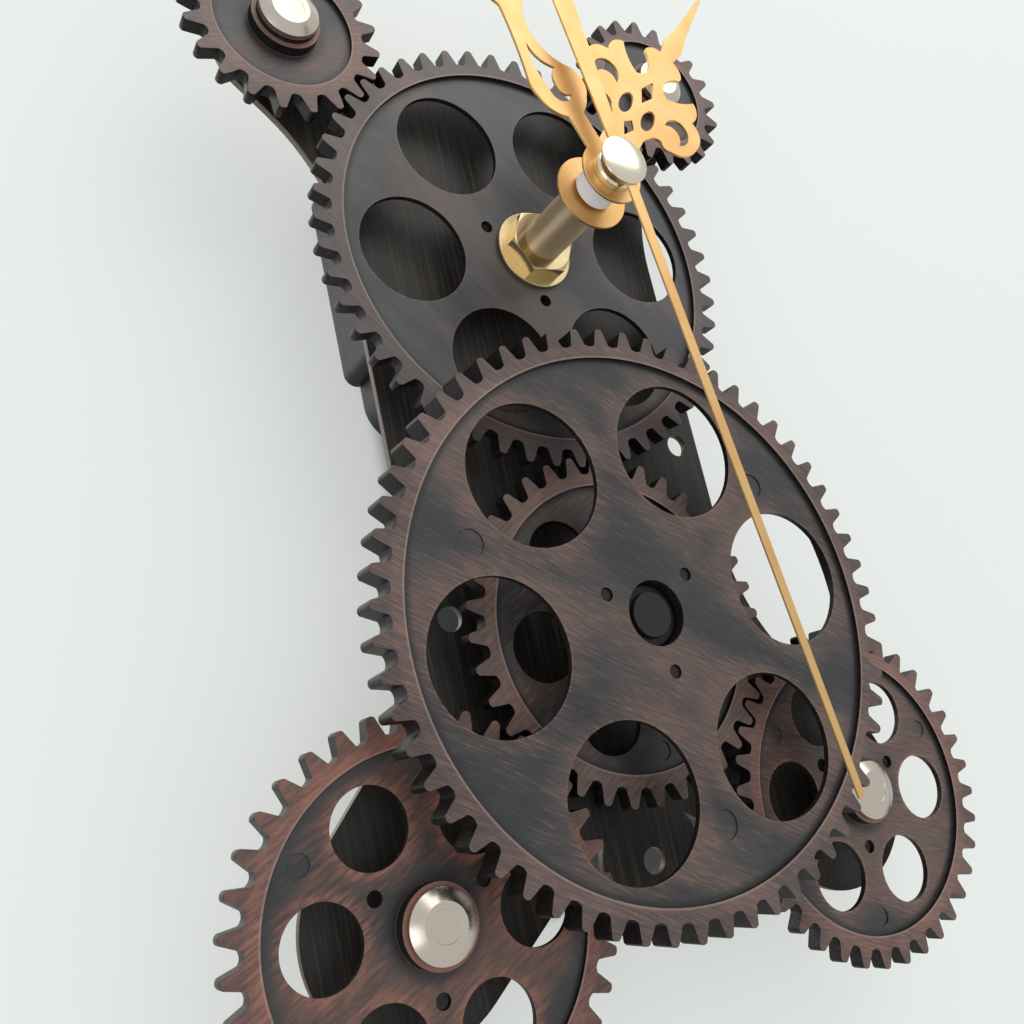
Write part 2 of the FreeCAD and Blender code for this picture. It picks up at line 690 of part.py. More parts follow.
def post_places():
    """The five post axes, measured from the main one."""
    upper = size(UPPER_DISTANCE)
    side = size(SIDE_DISTANCE)
    top = size(TOP_DISTANCE)
    side_slope = size("sizes.side_direction")
    top_slope = size("sizes.top_direction")
    return [
        Vector(0, 0, 0),
        polar(side, 180 + side_slope),
        polar(side, -side_slope),
        polar(top, 180 - top_slope, 0, upper),
        polar(top, top_slope, 0, upper),
    ]


def make_post_screws():
    """The five screws that hold the posts from behind the back plate."""
    screws = new_body("post_screws")
    screws.AllowCompound = True
    heads = new_sketch(screws, "screw_heads")
    shanks = new_sketch(screws, "screw_shanks", "sizes.screw_head_height")
    for place in post_places():
        add_circle(heads, "sizes.screw_head_radius", place)
        add_circle(shanks, "sizes.screw_radius - sizes.press_clearance", place)
    pad(screws, heads, "sizes.screw_head_height")
    pad(screws, shanks, "sizes.plate_thickness + sizes.screw_reach - sizes.running_gap")
    stand(screws, "0", f"{BACK_PLATE} - sizes.screw_head_height", MAIN_Z)


def tangent_edge(centre, radius, slope, side):
    """Touching point and direction of a straight edge that leaves a lobe at a slope."""
    normal = polar(radius, slope + side * 90)
    return centre + normal, polar(1, slope)


def filleted_corner(touch, along, edge_x, radius):
    """Where a slanted edge, a fillet and an upright edge meet: two ends and the middle."""
    reach = (edge_x - touch.x) / along.x
    corner = touch + along * reach
    upright = Vector(0, math.copysign(1, along.y), 0)
    turn = math.acos(along.dot(upright))
    setback = radius * math.tan(turn / 2)
    start = corner - along * setback
    end = corner + upright * setback
    inward = (start + end) * 0.5 - corner
    inward.normalize()
    gap = radius / math.cos(turn / 2) - radius
    return start, corner + inward * gap, end


def plate_half():
    """The left half of the back plate's outline, from the bottom tab up to the top edge."""
    places = post_places()
    low_centre = places[1]
    high_centre = places[3]
    low_radius = size("sizes.plate_lower_lobe")
    high_radius = size("sizes.plate_upper_lobe")
    inner_slope = size("sizes.plate_inner_slope")
    tab = Vector(0, -size("sizes.plate_tab_drop"), 0)
    tab_radius = size("sizes.plate_tab_radius")
    edge_x = -size("sizes.plate_half_width")

    inner_touch, inner_along = tangent_edge(low_centre, low_radius, inner_slope, -1)
    offset = inner_touch - tab
    across = offset.x * inner_along.y - offset.y * inner_along.x
    nearest = -offset.dot(inner_along)
    tab_touch = inner_touch + inner_along * (nearest - math.sqrt(tab_radius ** 2 - across ** 2))
    tab_start = math.degrees(math.atan2(tab_touch.y - tab.y, tab_touch.x - tab.x)) % 360
    tab_middle = tab + polar(tab_radius, (tab_start + 270) / 2)

    low_touch, low_along = tangent_edge(low_centre, low_radius, size("sizes.plate_lower_slope"), 1)
    low_side = (inner_slope - 90 + size("sizes.plate_lower_slope") + 90) / 2 + 180
    low_fillet = filleted_corner(low_touch, low_along, edge_x, size("sizes.plate_fillet"))

    high_slope = -size("sizes.plate_upper_slope")
    high_touch, high_along = tangent_edge(high_centre, high_radius, high_slope, -1)
    high_fillet = filleted_corner(high_touch, high_along, edge_x, size("sizes.plate_fillet"))
    top_touch, top_along = tangent_edge(high_centre, high_radius, -inner_slope, 1)
    high_side = (high_slope - inner_slope) / 2 + 180
    top_y = size(UPPER_DISTANCE) + size("sizes.plate_top_rise")
    top_corner = top_touch + top_along * ((top_y - top_touch.y) / top_along.y)

    start = tab + Vector(0, -tab_radius, 0)
    steps = [
        (tab_middle, tab_touch),
        (inner_touch,),
        (low_centre + polar(low_radius, low_side), low_touch),
        (low_fillet[0],),
        (low_fillet[1], low_fillet[2]),
        (high_fillet[2],),
        (high_fillet[1], high_fillet[0]),
        (high_touch,),
        (high_centre + polar(high_radius, high_side), top_touch),
        (top_corner,),
    ]
    return start, steps


def mirrored_back(start, steps):
    """The same chain of edges mirrored left to right and walked the other way."""
    def flip(point):
        return Vector(-point.x, point.y, 0)

    ends = [start] + [step[-1] for step in steps]
    back = []
    for number in range(len(steps) - 1, -1, -1):
        step = steps[number]
        target = flip(ends[number])
        back.append((target,) if len(step) == 1 else (flip(step[0]), target))
    return flip(ends[-1]), back


def make_back_plate():
    """The dark plate that carries the posts and is clamped to the movement."""
    plate = new_body("back_plate")
    outline = new_sketch(plate, "plate_outline")
    start, left = plate_half()
    top_right, right = mirrored_back(start, left)
    add_path(outline, start, left + [(top_right,)] + right)
    pad(plate, outline, "sizes.plate_thickness")

    thickness = "sizes.plate_thickness"
    upper = Vector(0, size(UPPER_DISTANCE), 0)
    drill(plate, "plate_bushing_hole", "sizes.bushing_radius + sizes.screw_hole_margin",
          thickness, None, upper)
    screw_holes = new_sketch(plate, "plate_screw_holes", thickness)
    for place in post_places():
        add_circle(screw_holes, "sizes.screw_radius + sizes.screw_hole_margin", place)
    cut(plate, screw_holes)

    open_holes = new_sketch(plate, "plate_open_holes", thickness)
    low = size("sizes.plate_hole_low")
    right_side = size("sizes.plate_hole_right")
    for y in (low, low + size("sizes.plate_hole_rise")):
        for x in (-right_side, right_side):
            add_circle(open_holes, "sizes.plate_hole_radius", Vector(x, y, 0))
    add_circle(open_holes, "sizes.plate_hole_radius", Vector(0, -size("sizes.plate_tab_drop"), 0))
    cut(plate, open_holes)
    stand(plate, "0", BACK_PLATE, MAIN_Z)


def make_hanger():
    """The stamped strip with the loop that hangs on a nail."""
    hanger = new_body("hanger_plate")
    strip = new_sketch(hanger, "hanger_strip")
    half = size("sizes.hanger_width") / 2
    top = size(CASE_HALF)
    tail = -size("sizes.hanger_tail")
    loop = size("sizes.loop_radius")
    centre = top + size("sizes.hanger_rise")
    shoulder = top - size("sizes.hanger_overlap")
    steps = [
        (Vector(half, tail, 0),),
        (Vector(half, shoulder, 0),),
        (Vector(loop, top, 0),),
        (Vector(loop, centre, 0),),
        (Vector(0, centre + loop, 0), Vector(-loop, centre, 0)),
        (Vector(-loop, top, 0),),
        (Vector(-half, shoulder, 0),),
        (Vector(-half, tail, 0),),
    ]
    add_path(strip, Vector(-half, tail, 0), steps)
    pad(hanger, strip, "sizes.hanger_thickness")
    drill(hanger, "hanger_bushing_hole", "sizes.bushing_radius + sizes.screw_hole_margin",
          "sizes.hanger_thickness")
    hole = new_sketch(hanger, "loop_hole", "sizes.hanger_thickness")
    radius = size("sizes.loop_hole_radius")
    drop = centre - size("sizes.loop_hole_drop")
    add_path(hole, Vector(-radius, drop, 0), [
        (Vector(radius, drop, 0),),
        (Vector(radius, centre, 0),),
        (Vector(0, centre + radius, 0), Vector(-radius, centre, 0)),
        (Vector(-radius, drop, 0),),
    ])
    cut(hanger, hole)
    stand(hanger, "0", "0", UPPER_Z)


def add_case_outline(body, name, height, length, bulge_height, bulge_length):
    """The rounded square of the movement, with the bulge past its left side."""
    half = size(CASE_HALF)
    square = new_sketch(body, f"{name}_square", height)
    add_rounded_box(square, -half, half, -half, half, size("sizes.case_corner"))
    pad(body, square, length)
    bulge = new_sketch(body, f"{name}_bulge", bulge_height)
    middle = size("sizes.bulge_offset")
    reach = size("sizes.bulge_length") / 2
    add_rounded_box(bulge, -half - size("sizes.bulge_width"), -half + size("sizes.case_corner"),
                    middle - reach, middle + reach, size("sizes.bulge_corner"))
    pad(body, bulge, bulge_length)


def add_bay(body, name, height):
    """The battery bay, cut from a height right through to the rear."""
    bay = new_sketch(body, name, height)
    half_width = size(BAY_HALF_WIDTH)
    half_length = size(BAY_LENGTH) / 2
    centre = -size("sizes.battery_offset")
    add_rounded_box(bay, centre - half_width, centre + half_width, -half_length, half_length,
                    size("sizes.press_clearance") * 10)
    cut(body, bay)


def knob_place():
    """The knob's axis, measured from the hands' axis."""
    return Vector(size("sizes.knob_right"), -size("sizes.knob_drop"), 0)


def screw_corners():
    """The four screws of the rear cover, clear of the battery bay on the left."""
    inset = size(SCREW_INSET)
    left = -size("sizes.cover_screw_left")
    return [Vector(x, y, 0) for x in (left, inset) for y in (-inset, inset)]


def make_movement():
    """Case, rear cover, cover screws, battery with its contacts, and the set knob."""
    case = new_body("movement_case")
    add_case_outline(case, "case", "0", "sizes.case_depth", "0", "sizes.bulge_depth")
    add_bay(case, "case_bay", BAY_DEPTH)
    drill(case, "case_knob_pocket", KNOB_POCKET_RADIUS, f"{KNOB_FRONT} + sizes.running_gap",
          None, knob_place())
    drill(case, "case_knob_hole", "sizes.knob_stem_radius + sizes.running_clearance",
          f"{KNOB_FRONT} + sizes.knob_stem_length + sizes.running_gap", None, knob_place())
    front = "sizes.case_depth"
    drill(case, "case_flange_seat", "sizes.bushing_flange", front, "sizes.bushing_flange_height")
    drill(case, "case_hour_well", "sizes.hour_tube_radius + sizes.running_gap", front,
          "sizes.hour_tube_root + sizes.running_gap")
    drill(case, "case_minute_well", "sizes.minute_tube_radius + sizes.running_gap", front,
          "sizes.minute_tube_root + sizes.running_gap")
    drill(case, "case_second_well", "sizes.second_shaft_radius + sizes.running_gap", front,
          "sizes.second_shaft_root + sizes.running_gap")
    screw_wells = new_sketch(case, "case_screw_wells", "sizes.cover_screw_length")
    for place in screw_corners():
        add_circle(screw_wells, "sizes.cover_screw_radius", place)
    cut(case, screw_wells)
    stand(case, "0", "-sizes.case_depth", UPPER_Z)

    cover = new_body("movement_rear_cover")
    thickness = "sizes.cover_thickness"
    add_case_outline(cover, "cover", "0", thickness, "0", thickness)
    add_bay(cover, "cover_bay", thickness)
    drill(cover, "cover_knob_hole", KNOB_POCKET_RADIUS, thickness, None, knob_place())
    holes = new_sketch(cover, "cover_screw_holes", thickness)
    seats = new_sketch(cover, "cover_screw_seats", "sizes.cover_screw_head_height")
    for place in screw_corners():
        add_circle(holes, "sizes.cover_screw_radius + sizes.press_clearance", place)
        add_circle(seats, "sizes.cover_screw_head_radius + sizes.press_clearance", place)
    cut(cover, holes)
    cut(cover, seats)
    stand(cover, "0", f"-sizes.case_depth - {thickness}", UPPER_Z)

    screws = new_body("cover_screws")
    screws.AllowCompound = True
    heads = new_sketch(screws, "cover_screw_heads")
    shanks = new_sketch(screws, "cover_screw_shanks", "sizes.cover_screw_head_height")
    for place in screw_corners():
        add_circle(heads, "sizes.cover_screw_head_radius", place)
        add_circle(shanks, "sizes.cover_screw_radius - sizes.press_clearance", place)
    pad(screws, heads, "sizes.cover_screw_head_height")
    pad(screws, shanks, "sizes.cover_screw_length")
    stand(screws, "0", f"-sizes.case_depth - {thickness}", UPPER_Z)

    make_battery()
    make_knob()


def make_battery():
    """A standard AA cell lying upright in its bay, between two contact plates."""
    battery = new_body("aa_battery")
    nub = "sizes.battery_nub_radius"
    shoulder = "sizes.battery_length"
    end = "(sizes.battery_length + sizes.battery_nub_length)"
    turn_profile(battery, "battery_section", [
        ("0", "0"), ("sizes.battery_radius", "0"), ("sizes.battery_radius", shoulder),
        (nub, shoulder), (nub, end), ("0", end),
    ])
    battery.setExpression("Placement.Base.x", "-sizes.battery_offset")
    battery.setExpression("Placement.Base.y", "sizes.case_depth + sizes.cover_thickness"
                          " - sizes.battery_inset - sizes.battery_radius")
    battery.setExpression("Placement.Base.z", f"{UPPER_Z} - {end} / 2")

    contacts = new_body("battery_contacts")
    contacts.AllowCompound = True
    sketch = new_sketch(contacts, "contact_sections")
    centre = -size("sizes.battery_offset")
    half = size("sizes.contact_width") / 2
    outer = size(BAY_LENGTH) / 2
    inner = outer - size("sizes.contact_thickness")
    for low, high in ((-outer, -inner), (inner, outer)):
        corners = [Vector(centre - half, low, 0), Vector(centre + half, low, 0),
                   Vector(centre + half, high, 0), Vector(centre - half, high, 0)]
        add_path(sketch, corners[-1], [(corner,) for corner in corners])
    pad(contacts, sketch, "sizes.contact_height")
    stand(contacts, "0", f"-sizes.case_depth + {BAY_DEPTH} - sizes.contact_height", UPPER_Z)


def make_knob():
    """The fluted knob at the rear that sets the hands."""
    knob = new_body("set_knob")
    turn_profile(knob, "knob_section", [
        ("0", "0"), ("sizes.knob_radius", "0"), ("sizes.knob_radius", "sizes.knob_thickness"),
        ("sizes.knob_stem_radius", "sizes.knob_thickness"),
        ("sizes.knob_stem_radius", "sizes.knob_thickness + sizes.knob_stem_length"),
        ("0", "sizes.knob_thickness + sizes.knob_stem_length"),
    ])
    flute = drill(knob, "knob_flute", "sizes.knob_flute_radius", "sizes.knob_thickness", None,
                  Vector(size("sizes.knob_radius"), 0, 0))
    repeat_round(knob, flute, "sizes.knob_flutes")
    stand(knob, "sizes.knob_right",
          "-sizes.case_depth - sizes.cover_thickness + sizes.knob_inset",
          f"{UPPER_Z} - sizes.knob_drop")


def make_bushing():
    """The threaded bushing, the upper gear's sleeve, the washer and the hexagon nut."""
    bushing = new_body("shaft_bushing")
    bore = "(sizes.hour_tube_radius + sizes.running_clearance)"
    flange = "sizes.bushing_flange_height"
    top = f"({flange} + sizes.bushing_length)"
    turn_profile(bushing, "bushing_section", [
        (bore, "0"), ("sizes.bushing_flange", "0"), ("sizes.bushing_flange", flange),
        ("sizes.bushing_radius", flange), ("sizes.bushing_radius", top), (bore, top),
    ])
    stand(bushing, "0", f"-{flange}", UPPER_Z)

    inner = "(sizes.bushing_radius + sizes.press_clearance)"
    end = f"({WEB_FRONT} + sizes.running_gap - {PLATE_FRONT})"
    sleeve = new_body("upper_gear_sleeve")
    turn_profile(sleeve, "sleeve_section", [
        (inner, "0"), ("sizes.sleeve_flange", "0"), ("sizes.sleeve_flange", FLANGE_HEIGHT),
        ("sizes.sleeve_radius", FLANGE_HEIGHT), ("sizes.sleeve_radius", end), (inner, end),
    ])
    stand(sleeve, "0", PLATE_FRONT, UPPER_Z)

    washer = new_body("bushing_washer")
    turn_profile(washer, "washer_section", [
        (inner, "0"), ("sizes.washer_radius", "0"),
        ("sizes.washer_radius", "sizes.washer_thickness"), (inner, "sizes.washer_thickness"),
    ])
    stand(washer, "0", f"{WEB_FRONT} + sizes.running_gap", UPPER_Z)

    nut = new_body("bushing_nut")
    hexagon = new_sketch(nut, "nut_hexagon")
    corner = size("sizes.nut_flats") / math.sqrt(3)
    corners = [polar(corner, 60 * number) for number in range(6)]
    add_path(hexagon, corners[-1], [(point,) for point in corners])
    pad(nut, hexagon, "sizes.nut_height")
    add_nut_chamfer(nut, corner)
    drill(nut, "nut_bore", inner, "sizes.nut_height")
    stand(nut, "0", f"{WEB_FRONT} + sizes.running_gap + sizes.washer_thickness", UPPER_Z)


def add_nut_chamfer(nut, corner):
    """Turn the nut's front corners down to a cone."""
    sketch = new_sketch(nut, "nut_chamfer", plane="XZ_Plane")
    outside = str(corner + size("sizes.cut_overrun"))
    flat = "(sizes.nut_flats / 2)"
    add_profile(sketch, [
        (flat, "sizes.nut_height"), (outside, "sizes.nut_height"),
        (outside, "sizes.nut_height - sizes.nut_chamfer"),
    ])
    groove = nut.newObject("PartDesign::Groove", "nut_chamfer_turned")
    groove.Profile = sketch
    groove.ReferenceAxis = (sketch, ["V_Axis"])
    groove.Angle = 360
    doc.recompute()


def make_tube(name, radius, bore, root, front):
    """A plain tube or shaft of the hands, from its root in the case to its front end."""
    tube = new_body(name)
    length = f"({front} + {root})"
    inner = bore if bore else "0"
    turn_profile(tube, f"{name}_section", [
        (inner, "0"), (radius, "0"), (radius, length), (inner, length),
    ])
    stand(tube, "0", f"-{root}", UPPER_Z)


def shared_point(length, share):
    """A point of a hand given as shares of its length: along the hand, and to its right."""
    along, across = share
    return Vector(across * length, along * length, 0)


def shared_steps(length, shares):
    """Steps of an outline given as shares of a hand's length."""
    return [tuple(shared_point(length, share) for share in step) for step in shares]


def add_shared_hole(sketch, length, shares, side):
    """A closed hole given as shares of a hand's length, on one side of it."""
    def place(share):
        return shared_point(length, (share[0], side * share[1]))

    steps = [(place(middle), place(end)) for middle, end in shares[1:]]
    add_path(sketch, place(shares[0]), steps)


def make_hour_hand():
    """The pierced spear-shaped hour hand."""
    hand = new_body("hour_hand")
    length = size("sizes.hour_hand_length")
    blade = new_sketch(hand, "hour_outline")
    steps = shared_steps(length, HOUR_SIDE_SHARES)
    tip = Vector(HOUR_TIP_SHARE * length, length, 0)
    left_start, left = mirrored_back(tip, steps)
    add_path(blade, tip, steps + [(left_start,)] + left + [(tip,)])
    thickness = "sizes.hour_hand_thickness"
    pad(hand, blade, thickness)
    round_pad(hand, "hour_hub", "sizes.hour_hand_hub", "0", thickness)

    holes = new_sketch(hand, "hour_piercings", thickness)
    for side in (-1, 1):
        add_shared_hole(holes, length, HOUR_CRESCENT_SHARES, side)
        oval = HOUR_OVAL_SHARES
        centre = shared_point(length, (oval["centre"][0], side * oval["centre"][1]))
        end = centre + Vector(0, oval["half_length"] * length, 0)
        flank = centre + Vector(oval["half_width"] * length, 0, 0)
        holes.addGeometry(Part.Ellipse(end, flank, centre))
    for shares in (HOUR_UPPER_DIAMOND_SHARES, HOUR_LOWER_DIAMOND_SHARES):
        top, flank, bottom = shares
        ring = [flank, bottom, (flank[0], -flank[1]), top]
        add_path(holes, shared_point(length, top), [(shared_point(length, item),) for item in ring])
    cut(hand, holes)
    drill(hand, "hour_bore", "sizes.hour_tube_radius + sizes.press_clearance", thickness)
    stand(hand, "0", HOUR_HAND_BACK, UPPER_Z, size("sizes.hour_angle"))


def make_minute_hand():
    """The minute hand with its one open loop."""
    hand = new_body("minute_hand")
    length = size("sizes.minute_hand_length")
    blade = new_sketch(hand, "minute_outline")
    tip = Vector(MINUTE_TIP_SHARE * length, length, 0)
    tip_left = Vector(-tip.x, tip.y, 0)
    down = shared_steps(length, MINUTE_RIGHT_SHARES)
    foot_left = Vector(-down[-1][0].x, down[-1][0].y, 0)
    up = shared_steps(length, MINUTE_LEFT_SHARES)
    add_path(blade, tip, down + [(foot_left,)] + up + [(tip_left,), (tip,)])
    thickness = "sizes.minute_hand_thickness"
    pad(hand, blade, thickness)
    round_pad(hand, "minute_hub", "sizes.minute_hand_hub", "0", thickness)
    opening = new_sketch(hand, "minute_opening", thickness)
    add_shared_hole(opening, length, MINUTE_OPENING_SHARES, 1)
    cut(hand, opening)
    drill(hand, "minute_bore", "sizes.minute_tube_radius + sizes.press_clearance", thickness)
    stand(hand, "0", MINUTE_HAND_BACK, UPPER_Z, size("sizes.minute_angle"))


def make_minute_fittings():
    """The white collar behind the minute hand and the round nut in front of it."""
    bore = "(sizes.minute_tube_radius + sizes.press_clearance)"
    collar = new_body("minute_collar")
    turn_profile(collar, "collar_section", [
        (bore, "0"), ("sizes.collar_radius", "0"), ("sizes.collar_radius", "sizes.collar_length"),
        (bore, "sizes.collar_length"),
    ])
    stand(collar, "0", COLLAR_BACK, UPPER_Z)

    nut = new_body("minute_nut")
    shoulder = "(sizes.minute_nut_height - sizes.minute_nut_chamfer)"
    top_radius = "(sizes.minute_nut_radius - sizes.minute_nut_chamfer)"
    turn_profile(nut, "minute_nut_section", [
        (bore, "0"), ("sizes.minute_nut_radius", "0"), ("sizes.minute_nut_radius", shoulder),
        (top_radius, "sizes.minute_nut_height"), (bore, "sizes.minute_nut_height"),
    ])
    stand(nut, "0", MINUTE_NUT_BACK, UPPER_Z)


def make_second_hand():
    """The straight second hand with its counterweight tail, its pipe and its domed cap."""
    angle = size("sizes.second_angle")
    bore = "(sizes.second_shaft_radius + sizes.press_clearance)"
    pipe = new_body("second_pipe")
    turn_profile(pipe, "pipe_section", [
        (bore, "0"), ("sizes.pipe_radius", "0"), ("sizes.pipe_radius", "sizes.pipe_length"),
        (bore, "sizes.pipe_length"),
    ])
    stand(pipe, "0", PIPE_BACK, UPPER_Z)

    hand = new_body("second_hand")
    blade = new_sketch(hand, "second_outline")
    neck = size("sizes.second_hand_neck")
    width = size("sizes.second_hand_half_width")
    length = size("sizes.second_hand_length")
    tail_neck = size("sizes.second_tail_neck")
    tail_width = size("sizes.second_tail_half_width")
    tail_length = size("sizes.second_tail_length")
    steps = [
        (Vector(width, length, 0),),
        (Vector(-width, length, 0),),
        (Vector(-neck, 0, 0),),
        (Vector(-tail_neck, 0, 0),),
        (Vector(-tail_width, tail_width - tail_length, 0),),
        (Vector(0, -tail_length, 0), Vector(tail_width, tail_width - tail_length, 0)),
        (Vector(tail_neck, 0, 0),),
        (Vector(neck, 0, 0),),
    ]
    add_path(blade, Vector(neck, 0, 0), steps)
    thickness = "sizes.second_hand_thickness"
    pad(hand, blade, thickness)
    round_pad(hand, "second_hub", "sizes.second_hub_radius", "0", thickness)
    drill(hand, "second_bore", bore, thickness)
    stand(hand, "0", SECOND_HAND_BACK, UPPER_Z, angle)

    cap = new_body("second_cap")
    sketch = new_sketch(cap, "second_cap_section", plane="XZ_Plane")
    radius = size("sizes.second_cap_radius")
    edge = size("sizes.second_cap_edge")
    height = size("sizes.second_cap_height")
    rise = height - edge
    dome = (radius ** 2 + rise ** 2) / (2 * rise)
    half_turn = math.degrees(math.asin(radius / dome)) / 2
    middle = Vector(dome * math.sin(math.radians(half_turn)),
                    height - dome * (1 - math.cos(math.radians(half_turn))), 0)
    hole = size(bore)
    depth = size("sizes.second_shaft_tip") + size("sizes.press_clearance")
    add_path(sketch, Vector(hole, 0, 0), [
        (Vector(radius, 0, 0),),
        (Vector(radius, edge, 0),),
        (middle, Vector(0, height, 0)),
        (Vector(0, depth, 0),),
        (Vector(hole, depth, 0),),
        (Vector(hole, 0, 0),),
    ])
    turned = cap.newObject("PartDesign::Revolution", "second_cap_turned")
    turned.Profile = sketch
    turned.ReferenceAxis = (sketch, ["V_Axis"])
    turned.Angle = 360
    doc.recompute()
    stand(cap, "0", SECOND_CAP_BACK, UPPER_Z)


def make_hands():
    """The three coaxial shafts with their hands."""
    clearance = " + sizes.running_clearance)"
    make_tube("hour_tube", "sizes.hour_tube_radius", "(sizes.minute_tube_radius" + clearance,
              "sizes.hour_tube_root", HOUR_TUBE_FRONT)
    make_hour_hand()
    make_tube("minute_tube", "sizes.minute_tube_radius", "(sizes.second_shaft_radius" + clearance,
              "sizes.minute_tube_root", f"({MINUTE_NUT_FRONT} - sizes.minute_tube_inset)")
    make_minute_fittings()
    make_minute_hand()
    make_tube("second_shaft", "sizes.second_shaft_radius", None,
              "sizes.second_shaft_root", f"({SECOND_CAP_BACK} + sizes.second_shaft_tip)")
    make_second_hand()


def check_and_export():
    """Stop at any failed object, then write each sub-part's file."""
    doc.recompute()
    for item in doc.Objects:
        if "Invalid" in item.State or "Error" in item.State:
            raise RuntimeError(f"{item.Name} failed: {item.State}")
        if item.TypeId in ("PartDesign::Pocket", "PartDesign::Groove"):
            if item.Shape.Volume >= item.BaseFeature.Shape.Volume:
                raise RuntimeError(f"{item.Name} cuts nothing")
    os.makedirs("parts", exist_ok=True)
    for part in parts:
        shape = part.Shape
        if shape.isNull() or not shape.isValid() or not shape.Solids:
            raise RuntimeError(f"{part.Label} is not a valid solid")
        shape.exportStep(f"parts/{part.Label}.step")
        print(part.Label, len(shape.Solids), round(shape.Volume, 1))


make_movement()
make_hanger()
make_back_plate()
make_bushing()
make_main_post()
make_main_gears()
phase_of_upper = make_upper_gear()
make_side_gear("lower_left_gear", -1, "sizes.left_hole_angle")
make_side_gear("lower_right_gear", 1, "sizes.right_hole_angle")
make_top_gear("top_left_gear", -1, phase_of_upper)
make_top_gear("top_right_gear", 1, phase_of_upper)
make_gear_post("lower_left_post", "lower_left_cap", SIDE_BOSS_FRONT, f"-{SIDE_X}", SIDE_Z)
make_gear_post("lower_right_post", "lower_right_cap", SIDE_BOSS_FRONT, SIDE_X, SIDE_Z)
make_gear_post("top_left_post", "top_left_cap", TOP_BOSS_FRONT, f"-{TOP_X}", TOP_Z)
make_gear_post("top_right_post", "top_right_cap", TOP_BOSS_FRONT, TOP_X, TOP_Z)
make_post_screws()
make_hands()
check_and_export()
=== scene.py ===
# %% [markdown]
# # A wall clock of turning gears
# The clock is a black quartz movement that hangs on the wall. A thin wooden plate is clamped on its
# bushing, and seven moulded gears with an antique copper finish turn in front of that plate.
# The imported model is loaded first. It holds every piece at its real size and place, so the scene
# mostly dresses it: edges that catch light, threads, screw slots, and the finish of each surface.
# Three forms are changed too: the webs of the gears, the top of the plate and the second hand.

# %% Load the clock
import json
import math

import bpy
from mathutils import Matrix, Vector


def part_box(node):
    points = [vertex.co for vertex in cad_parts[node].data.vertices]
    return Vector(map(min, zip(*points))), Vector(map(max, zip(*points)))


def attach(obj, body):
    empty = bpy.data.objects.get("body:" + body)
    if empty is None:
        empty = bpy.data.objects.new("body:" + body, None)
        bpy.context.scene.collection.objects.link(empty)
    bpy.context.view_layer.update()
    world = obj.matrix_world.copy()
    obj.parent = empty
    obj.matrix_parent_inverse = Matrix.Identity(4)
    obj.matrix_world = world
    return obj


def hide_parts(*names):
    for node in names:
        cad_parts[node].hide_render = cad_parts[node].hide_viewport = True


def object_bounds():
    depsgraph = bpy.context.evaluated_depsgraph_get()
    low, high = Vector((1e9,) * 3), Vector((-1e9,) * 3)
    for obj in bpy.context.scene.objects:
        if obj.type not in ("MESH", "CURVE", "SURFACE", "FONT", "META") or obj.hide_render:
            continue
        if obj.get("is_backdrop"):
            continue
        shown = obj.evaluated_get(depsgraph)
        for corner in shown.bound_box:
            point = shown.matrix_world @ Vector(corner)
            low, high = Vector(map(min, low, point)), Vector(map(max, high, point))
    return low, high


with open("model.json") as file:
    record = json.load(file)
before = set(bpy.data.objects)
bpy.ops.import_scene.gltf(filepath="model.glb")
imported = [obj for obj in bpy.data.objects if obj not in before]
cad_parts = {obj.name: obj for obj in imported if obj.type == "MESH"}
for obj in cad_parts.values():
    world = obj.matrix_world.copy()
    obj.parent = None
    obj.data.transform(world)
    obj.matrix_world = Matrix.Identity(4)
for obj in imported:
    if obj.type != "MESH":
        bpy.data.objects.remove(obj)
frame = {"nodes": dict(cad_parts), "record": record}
cad_low, cad_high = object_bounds()
MM = 0.001
print("nodes:", len(frame["nodes"]), "size in mm:", [round(v / MM, 1) for v in cad_high - cad_low])

# %% [markdown]
# ## Where the axes are
# Everything that turns here turns about an axis that runs straight to the front, along -Y. A round
# post or bushing has its axis in the middle of its box, so the boxes of the loaded pieces give all
# the places that the dressing needs, and nothing has to be measured twice.

# %% Axes and levels from the loaded pieces
def axis_of(node):
    """The (x, z) of the axis of a round piece."""
    low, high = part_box(node)
    return (low.x + high.x) / 2, (low.z + high.z) / 2


def front_of(node):
    """How far a piece reaches to the front, where -Y is the front."""
    return -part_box(node)[0].y


def back_of(node):
    """How far to the front the rear face of a piece lies."""
    return -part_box(node)[1].y


MAIN = axis_of("main_post")
UPPER = axis_of("shaft_bushing")
POSTS = ["lower_left", "lower_right", "top_left", "top_right"]
print("main axis in mm:", [round(v / MM, 2) for v in MAIN])

# %% [markdown]
# ## Working on one piece at a time
# An operator in Blender acts on whatever is selected. Loading leaves all the pieces selected, so
# each step starts by clearing the selection and picking the one piece that it works on.

# %% Selection and edit helpers
def pick(piece):
    """Select this piece alone and make it the active one."""
    bpy.ops.object.select_all(action="DESELECT")
    piece.select_set(True)
    bpy.context.view_layer.objects.active = piece


def edit_all(piece):
    """Enter edit mode on one piece with all of its mesh selected."""
    pick(piece)
    bpy.ops.object.mode_set(mode="EDIT")
    bpy.ops.mesh.select_all(action="SELECT")


def leave_edit():
    bpy.ops.object.mode_set(mode="OBJECT")


def edit_vertices(piece, wanted):
    """Enter edit mode with only those vertices selected whose place passes the test."""
    edit_all(piece)
    bpy.ops.mesh.select_all(action="DESELECT")
    leave_edit()
    for vertex in piece.data.vertices:
        vertex.select = wanted(vertex.co)
    bpy.ops.object.mode_set(mode="EDIT")


SMOOTH_ANGLE = 40


def smooth(piece, angle=SMOOTH_ANGLE):
    """Shade curved faces smooth, and keep edges sharper than the angle in degrees."""
    pick(piece)
    bpy.ops.object.shade_smooth_by_angle(angle=math.radians(angle))


